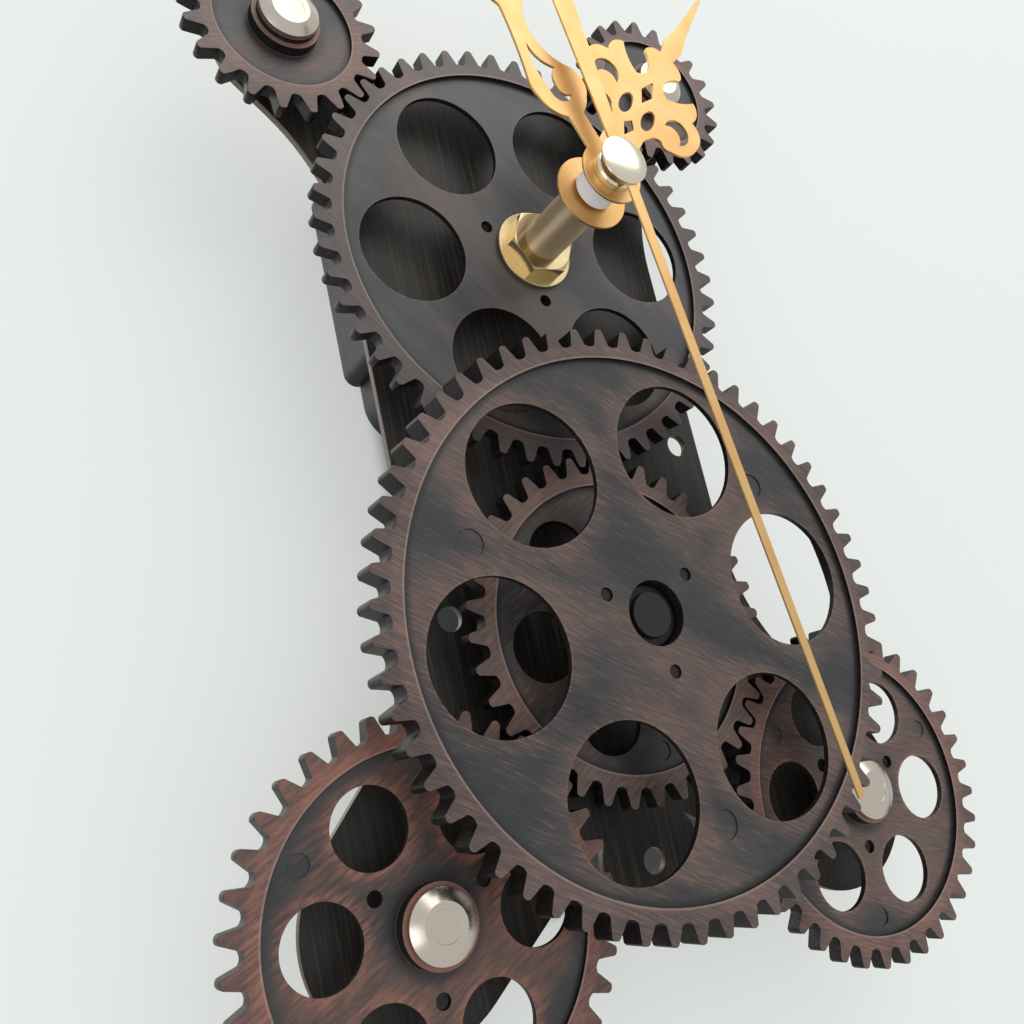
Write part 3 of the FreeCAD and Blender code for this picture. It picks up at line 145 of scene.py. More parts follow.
def finish_piece(piece, body, material, node):
    """Give a piece its material and its body, and hide the loaded piece that it stands for."""
    piece.data.materials.clear()
    piece.data.materials.append(material)
    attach(piece, body)
    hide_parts(node)
    print(f"{piece.name}: {len(piece.data.polygons)} faces, {material.name}")


BODY_OF = {}
for body, members in frame["record"]["behaviour"]["bodies"].items():
    for member in members:
        BODY_OF[member] = body

# %% [markdown]
# ## Edges that catch the light
# No moulded, stamped or turned piece has a perfectly sharp edge. A copy of a loaded mesh gets
# its loose triangles merged and its flat faces joined, and then a narrow bevel on every edge that
# turns by more than 28 degrees, which leaves the facets of round walls alone. The thin pale line
# along the steps of the gears in the photograph is such an edge.

# %% Copy a piece and soften its edges
BEVEL_ANGLE = math.radians(28)
MERGE_DISTANCE = 0.002 * MM
FLAT_ANGLE = math.radians(0.4)


def merge(piece, distance=MERGE_DISTANCE):
    """Join points closer than the distance, and make each flat face whole."""
    edit_all(piece)
    bpy.ops.mesh.remove_doubles(threshold=distance)
    bpy.ops.mesh.dissolve_limited(angle_limit=FLAT_ANGLE)
    leave_edit()


def merged_copy(node, name=None):
    """A copy of a loaded piece with its triangles merged and its flat faces whole."""
    piece = bpy.data.objects.new(name or f"{node}_finished", frame["nodes"][node].data.copy())
    bpy.context.scene.collection.objects.link(piece)
    pick(piece)
    bpy.ops.mesh.customdata_custom_splitnormals_clear()
    merge(piece)
    return piece


def soften(piece, width, segments=2):
    """Round the sharp edges of a piece with a narrow bevel and keep its flat faces flat."""
    pick(piece)
    bevel = piece.modifiers.new("edges", "BEVEL")
    bevel.width = width * MM
    bevel.segments = segments
    bevel.limit_method = "ANGLE"
    bevel.angle_limit = BEVEL_ANGLE
    bevel.use_clamp_overlap = True
    bpy.ops.object.modifier_apply(modifier="edges")
    smooth(piece)
    weighted = piece.modifiers.new("flats", "WEIGHTED_NORMAL")
    weighted.keep_sharp = True
    bpy.ops.object.modifier_apply(modifier="flats")
    return piece


def soft_copy(node, width, segments=2, name=None):
    """A merged copy of a loaded piece with softened edges."""
    return soften(merged_copy(node, name), width, segments)


def cut_away(piece, cutter):
    """Take the solid cutter out of a piece, and delete the cutter."""
    difference = piece.modifiers.new("cut", "BOOLEAN")
    difference.object = cutter
    difference.operation = "DIFFERENCE"
    pick(piece)
    bpy.ops.object.modifier_apply(modifier="cut")
    bpy.data.objects.remove(cutter)


# %% [markdown]
# ## Turned pieces
# A cap or a bushing is made on a lathe, and the way to draw it is the same: half of its section,
# turned about its axis. One vertex is extruded from point to point along the section, and Spin
# carries that line once round the axis.

# %% Turn a section about an axis
TURN_STEPS = 96
TURNED_SMOOTH_ANGLE = 22


def single_vertex(name, place):
    """A new object at the origin whose mesh is one vertex."""
    bpy.ops.mesh.primitive_plane_add(size=MM)
    piece = bpy.context.object
    piece.name = name
    edit_all(piece)
    bpy.ops.mesh.merge(type="CENTER")
    bpy.ops.transform.translate(value=place)
    return piece


def turned(name, axis, section, steps=TURN_STEPS):
    """A turned solid about an axis that runs to the front. The section is a list of
    (radius, front) in millimetres, from the rear end of the axis or bore round to the front."""
    x, z = axis
    points = [Vector((x + radius * MM, -front * MM, z)) for radius, front in section]
    piece = single_vertex(name, points[0])
    for start, end in zip(points, points[1:]):
        bpy.ops.mesh.extrude_region_move(TRANSFORM_OT_translate={"value": end - start})
    bpy.ops.mesh.select_all(action="SELECT")
    bpy.ops.mesh.spin(steps=steps, angle=2 * math.pi, center=(x, 0, z), axis=(0, 1, 0))
    bpy.ops.mesh.select_all(action="SELECT")
    bpy.ops.mesh.remove_doubles(threshold=MERGE_DISTANCE)
    bpy.ops.mesh.normals_make_consistent(inside=False)
    leave_edit()
    smooth(piece, TURNED_SMOOTH_ANGLE)
    return piece


def closed(section):
    """The section with its first point again at the end, for a piece that has a bore."""
    return section + section[:1]


def turned_sizes(node):
    """The levels of the rear and front ends of a loaded round piece and its largest radius, in
    millimetres."""
    low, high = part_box(node)
    return back_of(node) / MM, front_of(node) / MM, (high.x - low.x) / 2 / MM


# %% [markdown]
# ## Building a material from small steps
# Each finish is a chain of nodes. A small class keeps the chains readable: it holds one material
# and adds nodes, and every value passed to it may be a number or another node's output.
# All patterns read Object coordinates, so they stay fixed to the piece when it turns.

# %% A short way to write node chains
class Finish:
    """One material, with its main shader and short calls that add nodes to it."""

    def __init__(self, name, colour=None, **values):
        self.material = bpy.data.materials.new(name)
        self.material.use_nodes = True
        self.tree = self.material.node_tree
        self.shader = self.tree.nodes["Principled BSDF"]
        if colour:
            self.shader.inputs["Base Color"].default_value = (*colour, 1)
        for socket, value in values.items():
            self.shader.inputs[socket.replace("_", " ")].default_value = value
        self.coordinates = self.tree.nodes.new("ShaderNodeTexCoord")

    def put(self, socket, value):
        """Join an output to a socket, or set the socket to a plain value."""
        if isinstance(value, bpy.types.NodeSocket):
            self.tree.links.new(value, socket)
        elif isinstance(value, tuple) and len(value) == 3 and socket.type == "RGBA":
            socket.default_value = (*value, 1)
        else:
            socket.default_value = value

    def node(self, kind, *values, **settings):
        """Add a node, with its settings and the values of its first sockets."""
        made = self.tree.nodes.new(f"ShaderNode{kind}")
        for setting, value in settings.items():
            setattr(made, setting, value)
        for socket, value in zip(made.inputs, values):
            if value is not None:
                self.put(socket, value)
        return made

    def math(self, operation, *values, clamp=False):
        return self.node("Math", *values, operation=operation, use_clamp=clamp).outputs[0]

    def vector(self, operation, *values, output="Vector"):
        return self.node("VectorMath", *values, operation=operation).outputs[output]

    def times(self, first, second, clamp=False):
        return self.math("MULTIPLY", first, second, clamp=clamp)

    def line(self, value, slope, start, clamp=False):
        """The value times the slope, plus the start."""
        return self.math("MULTIPLY_ADD", value, slope, start, clamp=clamp)

    def split(self, vector):
        """The three parts of a vector."""
        return self.node("SeparateXYZ", vector).outputs

    def place(self, axis):
        """Object coordinates measured from an axis that runs to the front."""
        x, z = axis
        return self.vector("SUBTRACT", self.coordinates.outputs["Object"], (x, 0, z))

    def from_axis(self, place):
        """The distance from that axis, in metres."""
        x, _, z = self.split(place)
        flat = self.node("CombineXYZ", x, 0.0, z).outputs[0]
        return self.vector("LENGTH", flat, output="Value")

    def facing(self):
        """One on faces that look to the front or the rear, and zero on the sides of a piece."""
        return self.math("ABSOLUTE", self.split(self.coordinates.outputs["Normal"])[1])

    def step(self, value, low, high):
        """Zero below low, one above high, and a smooth rise in between."""
        made = self.node("MapRange", value, low, high, 0.0, 1.0, interpolation_type="SMOOTHSTEP")
        return made.outputs["Result"]

    def noise(self, vector, scale, detail=3.0, roughness=0.5, distortion=0.0):
        """A noise pattern. The scale is in features per millimetre."""
        made = self.node("TexNoise")
        self.put(made.inputs["Vector"], vector)
        made.inputs["Scale"].default_value = scale / MM
        made.inputs["Detail"].default_value = detail
        made.inputs["Roughness"].default_value = roughness
        made.inputs["Distortion"].default_value = distortion
        return made.outputs["Fac"]

    def stretched(self, vector, angle, along, across):
        """Coordinates for strokes at an angle in the XZ plane. Along and across are the strokes
        per millimetre, and a noise on these coordinates takes the one across as its scale."""
        turn = math.radians(angle)
        u = self.vector("DOT_PRODUCT", vector, (math.cos(turn), 0, math.sin(turn)), output="Value")
        v = self.vector("DOT_PRODUCT", vector, (-math.sin(turn), 0, math.cos(turn)), output="Value")
        return self.node("CombineXYZ", self.times(u, along / across), v, 0.0).outputs[0]

    def mix(self, share, first, second):
        """A colour between the first, at share zero, and the second, at share one. The node keeps
        sockets for numbers and vectors too, so its colours have the numbers below."""
        made = self.node("Mix", share, data_type="RGBA")
        first_colour, second_colour, mixed_colour = 6, 7, 2
        self.put(made.inputs[first_colour], first)
        self.put(made.inputs[second_colour], second)
        return made.outputs[mixed_colour]

    def colour(self, value):
        self.put(self.shader.inputs["Base Color"], value)

    def roughness(self, pattern, low, high):
        """Roughness that goes from low to high with a pattern."""
        span = self.node("MapRange", pattern, 0.0, 1.0, low, high)
        self.put(self.shader.inputs["Roughness"], span.outputs["Result"])

    def bump(self, height, depth, strength=1.0):
        """Relief from a pattern of heights from zero to one, with its real depth in millimetres."""
        made = self.tree.nodes.new("ShaderNodeBump")
        made.inputs["Strength"].default_value = strength
        made.inputs["Distance"].default_value = depth * MM
        self.put(made.inputs["Height"], height)
        self.put(self.shader.inputs["Normal"], made.outputs["Normal"])


# %% [markdown]
# ## The antique copper gears
# The real gears are black plastic mouldings. Copper paint is dry-brushed over them, so it stays on
# the raised rim, the teeth and the edges of the holes, and catches the web only in fine strokes.
# Each mask below is one of those facts as a formula: the height of the surface, the distance from
# the gear's axis, and the distance from the nearest hole. Three are painted light instead: painted
# shade in a ring inside the rim and round the foot of the boss, and a pale line along the rim's inner
# edge that is partly worn copper and partly a painted highlight.

# %% The tones of a gear
GEAR_BLACK = (0.016, 0.016, 0.018)
GEAR_SLATE = (0.068, 0.071, 0.077)
GEAR_BROWN = (0.160, 0.094, 0.076)
GEAR_COPPER = (0.250, 0.140, 0.114)
GEAR_RED = (0.330, 0.130, 0.085)
RUBBED_HIGHLIGHT_COPPER = (0.42, 0.31, 0.28)
SIDE_BLACK = (0.009, 0.008, 0.009)
DULL_SHARE = 0.55


def between(first, second, share):
    """A colour that lies at this share of the way from the first colour to the second."""
    return tuple(a + (b - a) * share for a, b in zip(first, second))


# %% [markdown]
# ## Where the paint starts and ends
# Each pair below says where a mask starts and where it is full. The patterns run from zero to one,
# so their pairs are levels. The other pairs are millimetres: from the rim's inner edge, from the
# edge of a hole or of the boss, or, for the raised surfaces, from the front of the gear. Those of
# the band of painted shade inside the rim are shares of its width.

# %% The masks of the gear finish
STROKE = (0.36, 0.66)
THIN_STROKE = (0.52, 0.78)
SLATE_CLOUD = (0.20, 0.60)
SIDE_SPOT = (0.45, 0.80)
SIDE_FACE = (0.55, 0.25)
RAISED = (0.50, 0.15)
RIM_EDGE = (-0.3, 0.0)
RUBBED_HIGHLIGHT_LINE = (0.45, 0.20)
TEETH = (1.6, 3.0)
HOLE_WEAR = (7.0, 0.2)
HOLE_EDGE = (0.5, 0.1)
BOSS_TOP = (0.3, -0.2)
BOSS_FOOT_SHADE = (2.6, 0.4)
SHADE_BAND_START, SHADE_BAND_FULL = -1.4, -0.3
HOLES = 6


def hole_distance(finish, place, radius, circle, angle):
    """The distance to the centre of the nearest hole, in metres. The holes are evenly spaced on
    a circle in millimetres, and one of them lies at the angle in degrees."""
    x, _, z = finish.split(place)
    turn = finish.math("SUBTRACT", finish.math("ARCTAN2", z, x), math.radians(angle))
    folded = finish.math("PINGPONG", turn, math.pi / HOLES)
    across = finish.times(finish.math("COSINE", folded), 2 * circle * MM)
    square = finish.math("SUBTRACT", finish.math("POWER", radius, 2.0), finish.times(radius, across))
    full = finish.math("ADD", square, (circle * MM) ** 2)
    return finish.math("SQRT", finish.math("MAXIMUM", full, 0.0))


# %% The gear finish
FINE_STROKES, FINE_ALONG = 2.4, 0.22
PATCHES, PATCHES_ALONG = 0.058, 0.016
GRAIN = 2.2


def gear_finish(name, axis, front, rim_inner, strokes, brown, copper, grey=0.5, holes=None,
                boss=0.0, coarse=1.0, red=0.0, band=1.2, dark_band=True):
    """Dry-brushed copper on black plastic, with painted shade and a painted highlight near the rim
    and the boss. Front and radii are in millimetres. Strokes is the angle of the brush and coarse
    the width of its strokes. Brown, copper and grey weigh the three tones, and red makes the copper
    warmer. Holes has the radius of their circle, their own radius and the angle of one of them, and
    boss is the radius of the raised middle. Band is the width of a ring of painted shade inside the
    rim, which is black or of the plastic's tone."""
    made = Finish(name, Roughness=0.4)
    place = made.place(axis)
    radius = made.from_axis(place)

    def mask(distance, edge, limits):
        """A mask of a distance in metres. Its edge and the limits from there are millimetres."""
        return made.step(distance, *((edge + limit) * MM for limit in limits))

    # The brush leaves fine strokes, and wide patches where the paint is worn.
    bright = between(GEAR_COPPER, GEAR_RED, red)
    dull = between(GEAR_BROWN, tuple(DULL_SHARE * c for c in bright), red)
    across = FINE_STROKES / coarse
    fine = made.noise(made.stretched(place, strokes, FINE_ALONG, across), across, detail=5.0,
                      roughness=0.66)
    wide = made.noise(made.stretched(place, strokes, PATCHES_ALONG, PATCHES), PATCHES,
                      roughness=0.55)
    wide = made.line(made.math("SUBTRACT", fine, 0.5), 0.22, wide)
    grain = made.noise(place, GRAIN, detail=2.0)
    stroke = made.step(fine, *STROKE)
    worn_area = wide
    if holes:
        circle, hole_radius, angle = holes
        to_hole = hole_distance(made, place, radius, circle, angle)
        worn_area = made.line(mask(to_hole, hole_radius, HOLE_WEAR), 0.16 * copper, wide)
    patch_start = 0.60 - 0.30 * brown
    patch = made.step(worn_area, patch_start, patch_start + 0.30)

    # The web is slate or black, with dull copper over it.
    slate = made.mix(made.step(wide, *SLATE_CLOUD), GEAR_BLACK, GEAR_SLATE)
    base = made.mix(grey, GEAR_BLACK, slate)
    patched = made.times(patch, made.line(stroke, 0.60, 0.40))
    brushed = made.line(made.step(fine, *THIN_STROKE), 0.30 + 0.40 * brown, patched, clamp=True)
    surface = made.mix(brushed, base, dull)

    # The rim and the teeth stand up, so they take more paint, and the tips of the teeth lose it.
    raised = mask(made.split(place)[1], -front, RAISED)
    rim = made.times(raised, mask(radius, rim_inner, RIM_EDGE))
    worn = made.line(patch, 0.25, made.line(grain, 0.30, made.times(stroke, 0.45)))
    worn = made.times(worn, made.line(mask(radius, rim_inner, TEETH), -0.45, 1.0))
    rim_share = made.times(rim, made.line(worn, 0.9 * copper, 0.10), clamp=True)
    surface = made.mix(rim_share, surface, bright)
    # A pale line along the rim's inner edge is partly worn copper and partly a painted highlight.
    rubbed_highlight = made.times(rim, mask(radius, rim_inner, RUBBED_HIGHLIGHT_LINE))
    surface = made.mix(made.times(rubbed_highlight, 0.35), surface, RUBBED_HIGHLIGHT_COPPER)

    # So do the edges of the holes and the boss. A dark ring round the foot of the boss is painted
    # shade.
    if holes:
        start, full = HOLE_EDGE
        edge = mask(to_hole, hole_radius, (start + 2.0 * red, full))
        edge = made.times(edge, made.times(stroke, 0.6 * copper))
        surface = made.mix(edge, surface, bright)
    if boss:
        on_boss = mask(radius, boss, BOSS_TOP)
        surface = made.mix(made.times(on_boss, 0.7), surface, bright)
        foot_shade = made.times(mask(radius, boss, BOSS_FOOT_SHADE), made.math("SUBTRACT", 1.0, on_boss))
        surface = made.mix(made.times(foot_shade, 0.75), surface, GEAR_BLACK)
    # Painted shade: a ring inside the rim, black or of the plastic's tone, darkens the corner under
    # the rim.
    rim_shade = made.times(mask(radius, rim_inner, (SHADE_BAND_START * band, SHADE_BAND_FULL * band)),
                        made.math("SUBTRACT", 1.0, raised))
    surface = made.mix(made.times(rim_shade, 0.75), surface, GEAR_BLACK if dark_band else base)

    # The sides of the teeth and the walls of the holes are nearly bare plastic.
    side = made.step(made.facing(), *SIDE_FACE)
    sides = made.mix(made.times(made.step(grain, *SIDE_SPOT), 0.22), SIDE_BLACK, GEAR_BROWN)
    made.colour(made.mix(side, surface, sides))
    made.roughness(fine, 0.30, 0.48)
    made.put(made.shader.inputs["Specular IOR Level"], made.line(side, -0.35, 0.5))
    made.bump(fine, 0.02, 0.5)
    return made.material


# %% [markdown]
# ## Dressing the seven gears
# The gears share one finish and differ in tone, as seven mouldings painted by hand do: the lower
# left one is reddest and has the coarsest strokes, the one behind the hands is smoothest and
# greyest. Their hole patterns repeat the loaded shapes, so the copper edges land on the holes.
# Below, a tip is the radius over the teeth, a seat is the radius out to which a gear keeps its full
# thickness, a boss is the radius of a raised middle, and a set of holes has the radius of their
# circle, their own radius and the angle of one of them. Lengths are in millimetres.

# %% Sizes of the gears
GEAR_EDGE = 0.13
RIM_WIDTH = 5.7
WEB_RECESS = 0.85
WEB_THICKNESS = 1.1
CUTTER_REACH = 1.0
CUT_MERGE_DISTANCE = 0.03 * MM
FRONT_TIP, UPPER_TIP, SIDE_TIP, TOP_TIP = 53.1, 44.9, 32.0, 18.72
FRONT_SEAT, UPPER_SEAT, REAR_SEAT, SIDE_SEAT = 14.5, 9.5, 8.0, 7.5
FRONT_HOLES = (32.1, 12.84, 5.2)
UPPER_HOLES = (26.05, 10.6, 2.1)
LEFT_HOLES = (17.4, 6.2, -5.0)
RIGHT_HOLES = (17.4, 6.2, -9.0)
SIDE_BOSS, TOP_BOSS = 6.25, 6.5
gear_front = front_of("upper_gear")
front_gear_front = front_of("main_front_gear")
print("fronts of the gears in mm:", [round(v / MM, 2) for v in (gear_front, front_gear_front)])


# %% Finish each gear
def gear_piece(node, axis, front, tip, seat, **tones):
    """Dress one gear. Its rim is the same width on every gear, and a ring is turned out of its
    rear face between the seat and the rim, which leaves the web thin."""
    rim_inner = tip - RIM_WIDTH
    front /= MM
    finish = gear_finish(f"{node}_copper", axis, front, rim_inner, **tones)
    piece = merged_copy(node)
    rear = back_of(node) / MM - CUTTER_REACH
    web_back = front - WEB_RECESS - WEB_THICKNESS
    cut_away(piece, turned("web_cutter", axis, closed([
        (seat, rear), (rim_inner, rear), (rim_inner, web_back), (seat, web_back)])))
    merge(piece, CUT_MERGE_DISTANCE)
    finish_piece(soften(piece, GEAR_EDGE), BODY_OF[node], finish, node)


gear_piece("main_front_gear", MAIN, front_gear_front, FRONT_TIP, FRONT_SEAT, strokes=-32,
           brown=0.60, copper=0.8, holes=FRONT_HOLES)
gear_piece("main_rear_gear", MAIN, gear_front, SIDE_TIP, REAR_SEAT, strokes=30,
           brown=0.75, copper=1.1)
gear_piece("upper_gear", UPPER, gear_front, UPPER_TIP, UPPER_SEAT, strokes=-50,
           brown=0.38, copper=0.45, grey=1.0, holes=UPPER_HOLES, coarse=0.8)
gear_piece("lower_left_gear", axis_of("lower_left_post"), gear_front, SIDE_TIP, SIDE_SEAT,
           strokes=24, brown=0.50, copper=1.25, holes=LEFT_HOLES, boss=SIDE_BOSS, coarse=1.7,
           red=0.75, band=2.6, dark_band=False)
gear_piece("lower_right_gear", axis_of("lower_right_post"), gear_front, SIDE_TIP, SIDE_SEAT,
           strokes=-24, brown=0.65, copper=1.1, holes=RIGHT_HOLES, boss=SIDE_BOSS, red=0.3)
for side, strokes in (("top_left", 12), ("top_right", -38)):
    gear_piece(f"{side}_gear", axis_of(f"{side}_post"), gear_front, TOP_TIP, SIDE_SEAT,
               strokes=strokes, brown=0.5, copper=1.1, grey=0.8, boss=TOP_BOSS, red=0.2)

# %% [markdown]
# ## The stained wooden plate
# The plate behind the gears is thin plywood, stained nearly black. Its grain runs from top to
# bottom and shows as faint brown lines, and the sawn edge is browner and rougher than the face.

# %% The wood finish
WOOD_BLACK = (0.013, 0.012, 0.011)
WOOD_LINE = (0.062, 0.047, 0.036)
WOOD_BAND = (0.030, 0.023, 0.019)
PLY_DARK = (0.050, 0.028, 0.019)
PLY_PALE = (0.115, 0.065, 0.042)
UPRIGHT = 90
LINES, LINES_ALONG = 1.4, 0.035
BANDS, BANDS_ALONG = 0.22, 0.012
PLIES = 0.32


def wood_finish():
    """Stained plywood with its grain along Z, and its plies on the sawn edge."""
    made = Finish("stained_wood", Roughness=0.5)
    place = made.coordinates.outputs["Object"]
    lines = made.noise(made.stretched(place, UPRIGHT, LINES_ALONG, LINES), LINES, detail=6.0,
                       roughness=0.65)
    bands = made.noise(made.stretched(place, UPRIGHT, BANDS_ALONG, BANDS), BANDS, distortion=0.6)
    face = made.mix(made.step(lines, 0.42, 0.74), WOOD_BLACK, WOOD_LINE)
    face = made.mix(made.times(made.step(bands, 0.5, 0.8), 0.5), face, WOOD_BAND)
    plies = made.node("TexWave", place, wave_type="BANDS", bands_direction="Y")
    plies.inputs["Scale"].default_value = PLIES / MM
    plies.inputs["Distortion"].default_value = 1.5
    sawn = made.mix(plies.outputs["Fac"], PLY_DARK, PLY_PALE)
    made.colour(made.mix(made.step(made.facing(), 0.6, 0.3), face, sawn))
    made.roughness(lines, 0.38, 0.60)
    made.bump(lines, 0.05, 0.5)
    return made.material


# %% [markdown]
# ## The top edge of the plate
# The plate reaches 13 mm higher behind the upper gear than the loaded one, so that it shows
# through the gear's upper holes too. The two ends of its top edge are picked by their height, and
# each is moved up along its slanted side, so that both sides stay straight.

# %% Back plate
PLATE_TOP = 6.5
PLATE_EDGE = 0.12
TOP_EDGE_HALF = 10 * MM
LEVEL = 0.05 * MM
SLANT = math.radians(36)
plate = merged_copy("back_plate")
top_edge = max(v.co.z for v in plate.data.vertices if abs(v.co.x) < TOP_EDGE_HALF)
rise = PLATE_TOP * MM - top_edge
for side in (-1, 1):
    edit_vertices(plate, lambda co: abs(co.z - top_edge) < LEVEL and 0 < side * co.x < TOP_EDGE_HALF)
    bpy.ops.transform.translate(value=(side * rise / math.tan(SLANT), 0, rise))
    leave_edit()
print("plate top raised by mm:", round(rise / MM, 2))
finish_piece(soften(plate, PLATE_EDGE), "frame", wood_finish(), "back_plate")

# %% [markdown]
# ## Brass, gold, steel and plastic
# A turned metal surface keeps the fine rings that the tool left, and a stamped hand keeps none,
# but is coated evenly and slightly matte. Rings are a pattern of the distance from the axis. Black
# and white plastic has the even pits of its mould, and only their depth and its sheen differ.

# %% Metal finishes
RING_DEPTH = 0.0015
SPOT_DEPTH = 0.006
DUST = 0.35
CLOUDS = 0.12


def turned_metal(name, colour, axis, low, high, rings):
    """Metal with fine rings about an axis, at that many rings per millimetre. Low and high are
    the ends of its roughness."""
    made = Finish(name, colour, Metallic=1.0)
    place = made.place(axis)
    depth = made.times(made.split(place)[1], 0.7)
    line = made.node("CombineXYZ", made.from_axis(place), depth, 0.0).outputs[0]
    pattern = made.noise(line, rings, roughness=0.7)
    dust = made.noise(place, DUST, detail=4.0)
    made.roughness(made.line(dust, 0.4, made.times(pattern, 0.6)), low, high)
    made.bump(pattern, RING_DEPTH, 0.6)
    return made.material


def plain_metal(name, colour, low, high, spots=1.2, tint=None):
    """Even metal with slight changes of polish and, if asked, of tint."""
    made = Finish(name, colour, Metallic=1.0)
    place = made.coordinates.outputs["Object"]
    cloud = made.noise(place, CLOUDS, detail=4.0)
    spot = made.noise(place, spots)
    made.roughness(made.line(cloud, 0.5, made.times(spot, 0.5)), low, high)
    made.bump(spot, SPOT_DEPTH, 0.5)
    if tint:
        made.colour(made.mix(made.step(cloud, 0.35, 0.7), colour, tint))
    return made.material


# %% A plastic finish
PITS = 3.0


def plain_plastic(name, colour, low, high, depth=0.01):
    """Moulded plastic with the fine even grain of its mould."""
    made = Finish(name, colour, Specular_IOR_Level=0.3)
    pits = made.noise(made.coordinates.outputs["Object"], PITS, detail=4.0, roughness=0.6)
    made.roughness(pits, low, high)
    made.bump(pits, depth, 0.6)
    return made.material


# %% The metals and plastics of the clock
STAINLESS = (0.64, 0.57, 0.50)
GOLD, GOLD_TINT = (0.82, 0.53, 0.24), (0.77, 0.46, 0.18)
BRASS, BRASS_TINT = (0.60, 0.49, 0.29), (0.52, 0.41, 0.23)
gold = plain_metal("gold_hand", GOLD, 0.38, 0.52, spots=3.0, tint=GOLD_TINT)
polished_brass = plain_metal("polished_brass", BRASS, 0.14, 0.28, tint=BRASS_TINT)
pale_brass = plain_metal("pale_brass", (0.80, 0.74, 0.58), 0.12, 0.24)
satin_brass = turned_metal("satin_brass", (0.42, 0.32, 0.20), UPPER, 0.24, 0.36, rings=3.0)
steel = plain_metal("screw_steel", (0.45, 0.45, 0.46), 0.22, 0.40)
nickel = plain_metal("contact_nickel", (0.70, 0.69, 0.66), 0.18, 0.34)
dark_post = plain_plastic("dark_post", (0.020, 0.020, 0.022), 0.30, 0.45)
dark_hub = plain_plastic("dark_hub_plastic", (0.022, 0.019, 0.018), 0.34, 0.50)
nylon = plain_plastic("white_nylon", (0.80, 0.79, 0.80), 0.32, 0.45)
movement_black = plain_plastic("movement_plastic", (0.010, 0.010, 0.011), 0.48, 0.64, depth=0.02)

# %% [markdown]
# ## Turned caps on the gear posts
# Each of the four small gears is kept on its post by a stainless cap. It has a straight edge, a
# wide bevel and a flat face with a shallow turned step round its middle. The loaded cap gives its
# radius and its levels, and the section below adds the broken edges and the step.

# %% Gear caps
CAP_EDGE = 0.6
CAP_BEVEL = 2.0
REAR_BREAK, EDGE_BREAK, FACE_BREAK = 0.1, 0.06, 0.05
STEP_TOP, STEP_FOOT = 0.45, 0.44
FACE_DIP, STEP_DIP, MIDDLE_DIP = 0.02, 0.09, 0.03
for side in POSTS:
    node = f"{side}_cap"
    axis = axis_of(node)
    back, front, rim = turned_sizes(node)
    edge = back + CAP_EDGE
    flat = rim - CAP_BEVEL
    cap = turned(f"{node}_turned", axis, [
        (0, back), (rim - REAR_BREAK, back), (rim, back + REAR_BREAK), (rim, edge - EDGE_BREAK),
        (rim - EDGE_BREAK, edge), (flat + 2 * FACE_BREAK, front - FACE_BREAK), (flat, front),
        (STEP_TOP * rim, front - FACE_DIP), (STEP_FOOT * rim, front - STEP_DIP),
        (0, front - MIDDLE_DIP),
    ])
    finish = turned_metal(f"{side}_stainless", STAINLESS, axis, 0.22, 0.32, rings=9.0)
    finish_piece(cap, BODY_OF[node], finish, node)

# %% [markdown]
# ## The threaded bushing, its washer and its nut
# The movement's bushing is an M8 brass tube, and its fine thread shows in front of its washer. The
# nut clamps the plate and the sleeve of the upper gear. The grooves of the thread are modelled as
# turned rings, because at half a millimetre a turn the slope of a real thread can't be seen.

# %% Bushing with its thread
BUSHING_RADIUS, BUSHING_BORE = 4.0, 2.65
BUSHING_STEPS = 72
FLANGE_THICKNESS = 1.2
END_BREAK, END_BREAK_LENGTH = 0.30, 0.35
THREAD_PITCH, THREAD_DEPTH, THREAD_RUNOUT = 0.5, 0.09, 0.5
GROOVE = ((0.10, 0.0), (0.22, THREAD_DEPTH), (0.28, THREAD_DEPTH), (0.40, 0.0))
back, front, flange = turned_sizes("shaft_bushing")
flange_front = back + FLANGE_THICKNESS
thread_start = front_of("bushing_washer") / MM
turns = int((front - THREAD_RUNOUT - thread_start) / THREAD_PITCH)
section = [(BUSHING_BORE, back), (flange, back), (flange, flange_front),
           (BUSHING_RADIUS, flange_front), (BUSHING_RADIUS, thread_start)]
for number in range(turns):
    level = thread_start + number * THREAD_PITCH
    section += [(BUSHING_RADIUS - depth, level + rise) for rise, depth in GROOVE]
section += [(BUSHING_RADIUS, front - END_BREAK_LENGTH), (BUSHING_RADIUS - END_BREAK, front),
            (BUSHING_BORE, front)]
bushing = turned("threaded_bushing", UPPER, closed(section), steps=BUSHING_STEPS)
finish_piece(bushing, "frame", satin_brass, "shaft_bushing")
print("thread turns:", turns)

# %% Washer and nut
for node, width in (("bushing_washer", 0.15), ("bushing_nut", 0.18)):
    finish_piece(soft_copy(node, width, 3), "frame", polished_brass, node)

# %% [markdown]
# ## The hands
# The hands are stamped from sheet brass and coated in a warm, slightly matte gold. Stamping
# leaves the edges rounded, so a bevel of a fifth or a sixth of the sheet's thickness is enough.

# %% Hour and minute hand
HAND_EDGE = 0.10
for node in ("hour_hand", "minute_hand"):
    finish_piece(soft_copy(node, HAND_EDGE), BODY_OF[node], gold, node)

# %% [markdown]
# ## A slim second hand
# The second hand is a plain needle, slimmer than the loaded one. Its direction is found from its
# tip, and everything from the edge of its round hub to the tip is then scaled across that
# direction, so the needle keeps its length and its thickness.

# %% Second hand
BLADE_NARROWING = 0.60
HUB_EDGE = 2.3 * MM
TIP_LENGTH = 0.8 * MM
blade = merged_copy("second_hand")
centre = Vector((UPPER[0], 0, UPPER[1]))


def from_hub(place):
    """A place seen from the front and measured from the axis of the hands."""
    return Vector((place.x, 0, place.z)) - centre


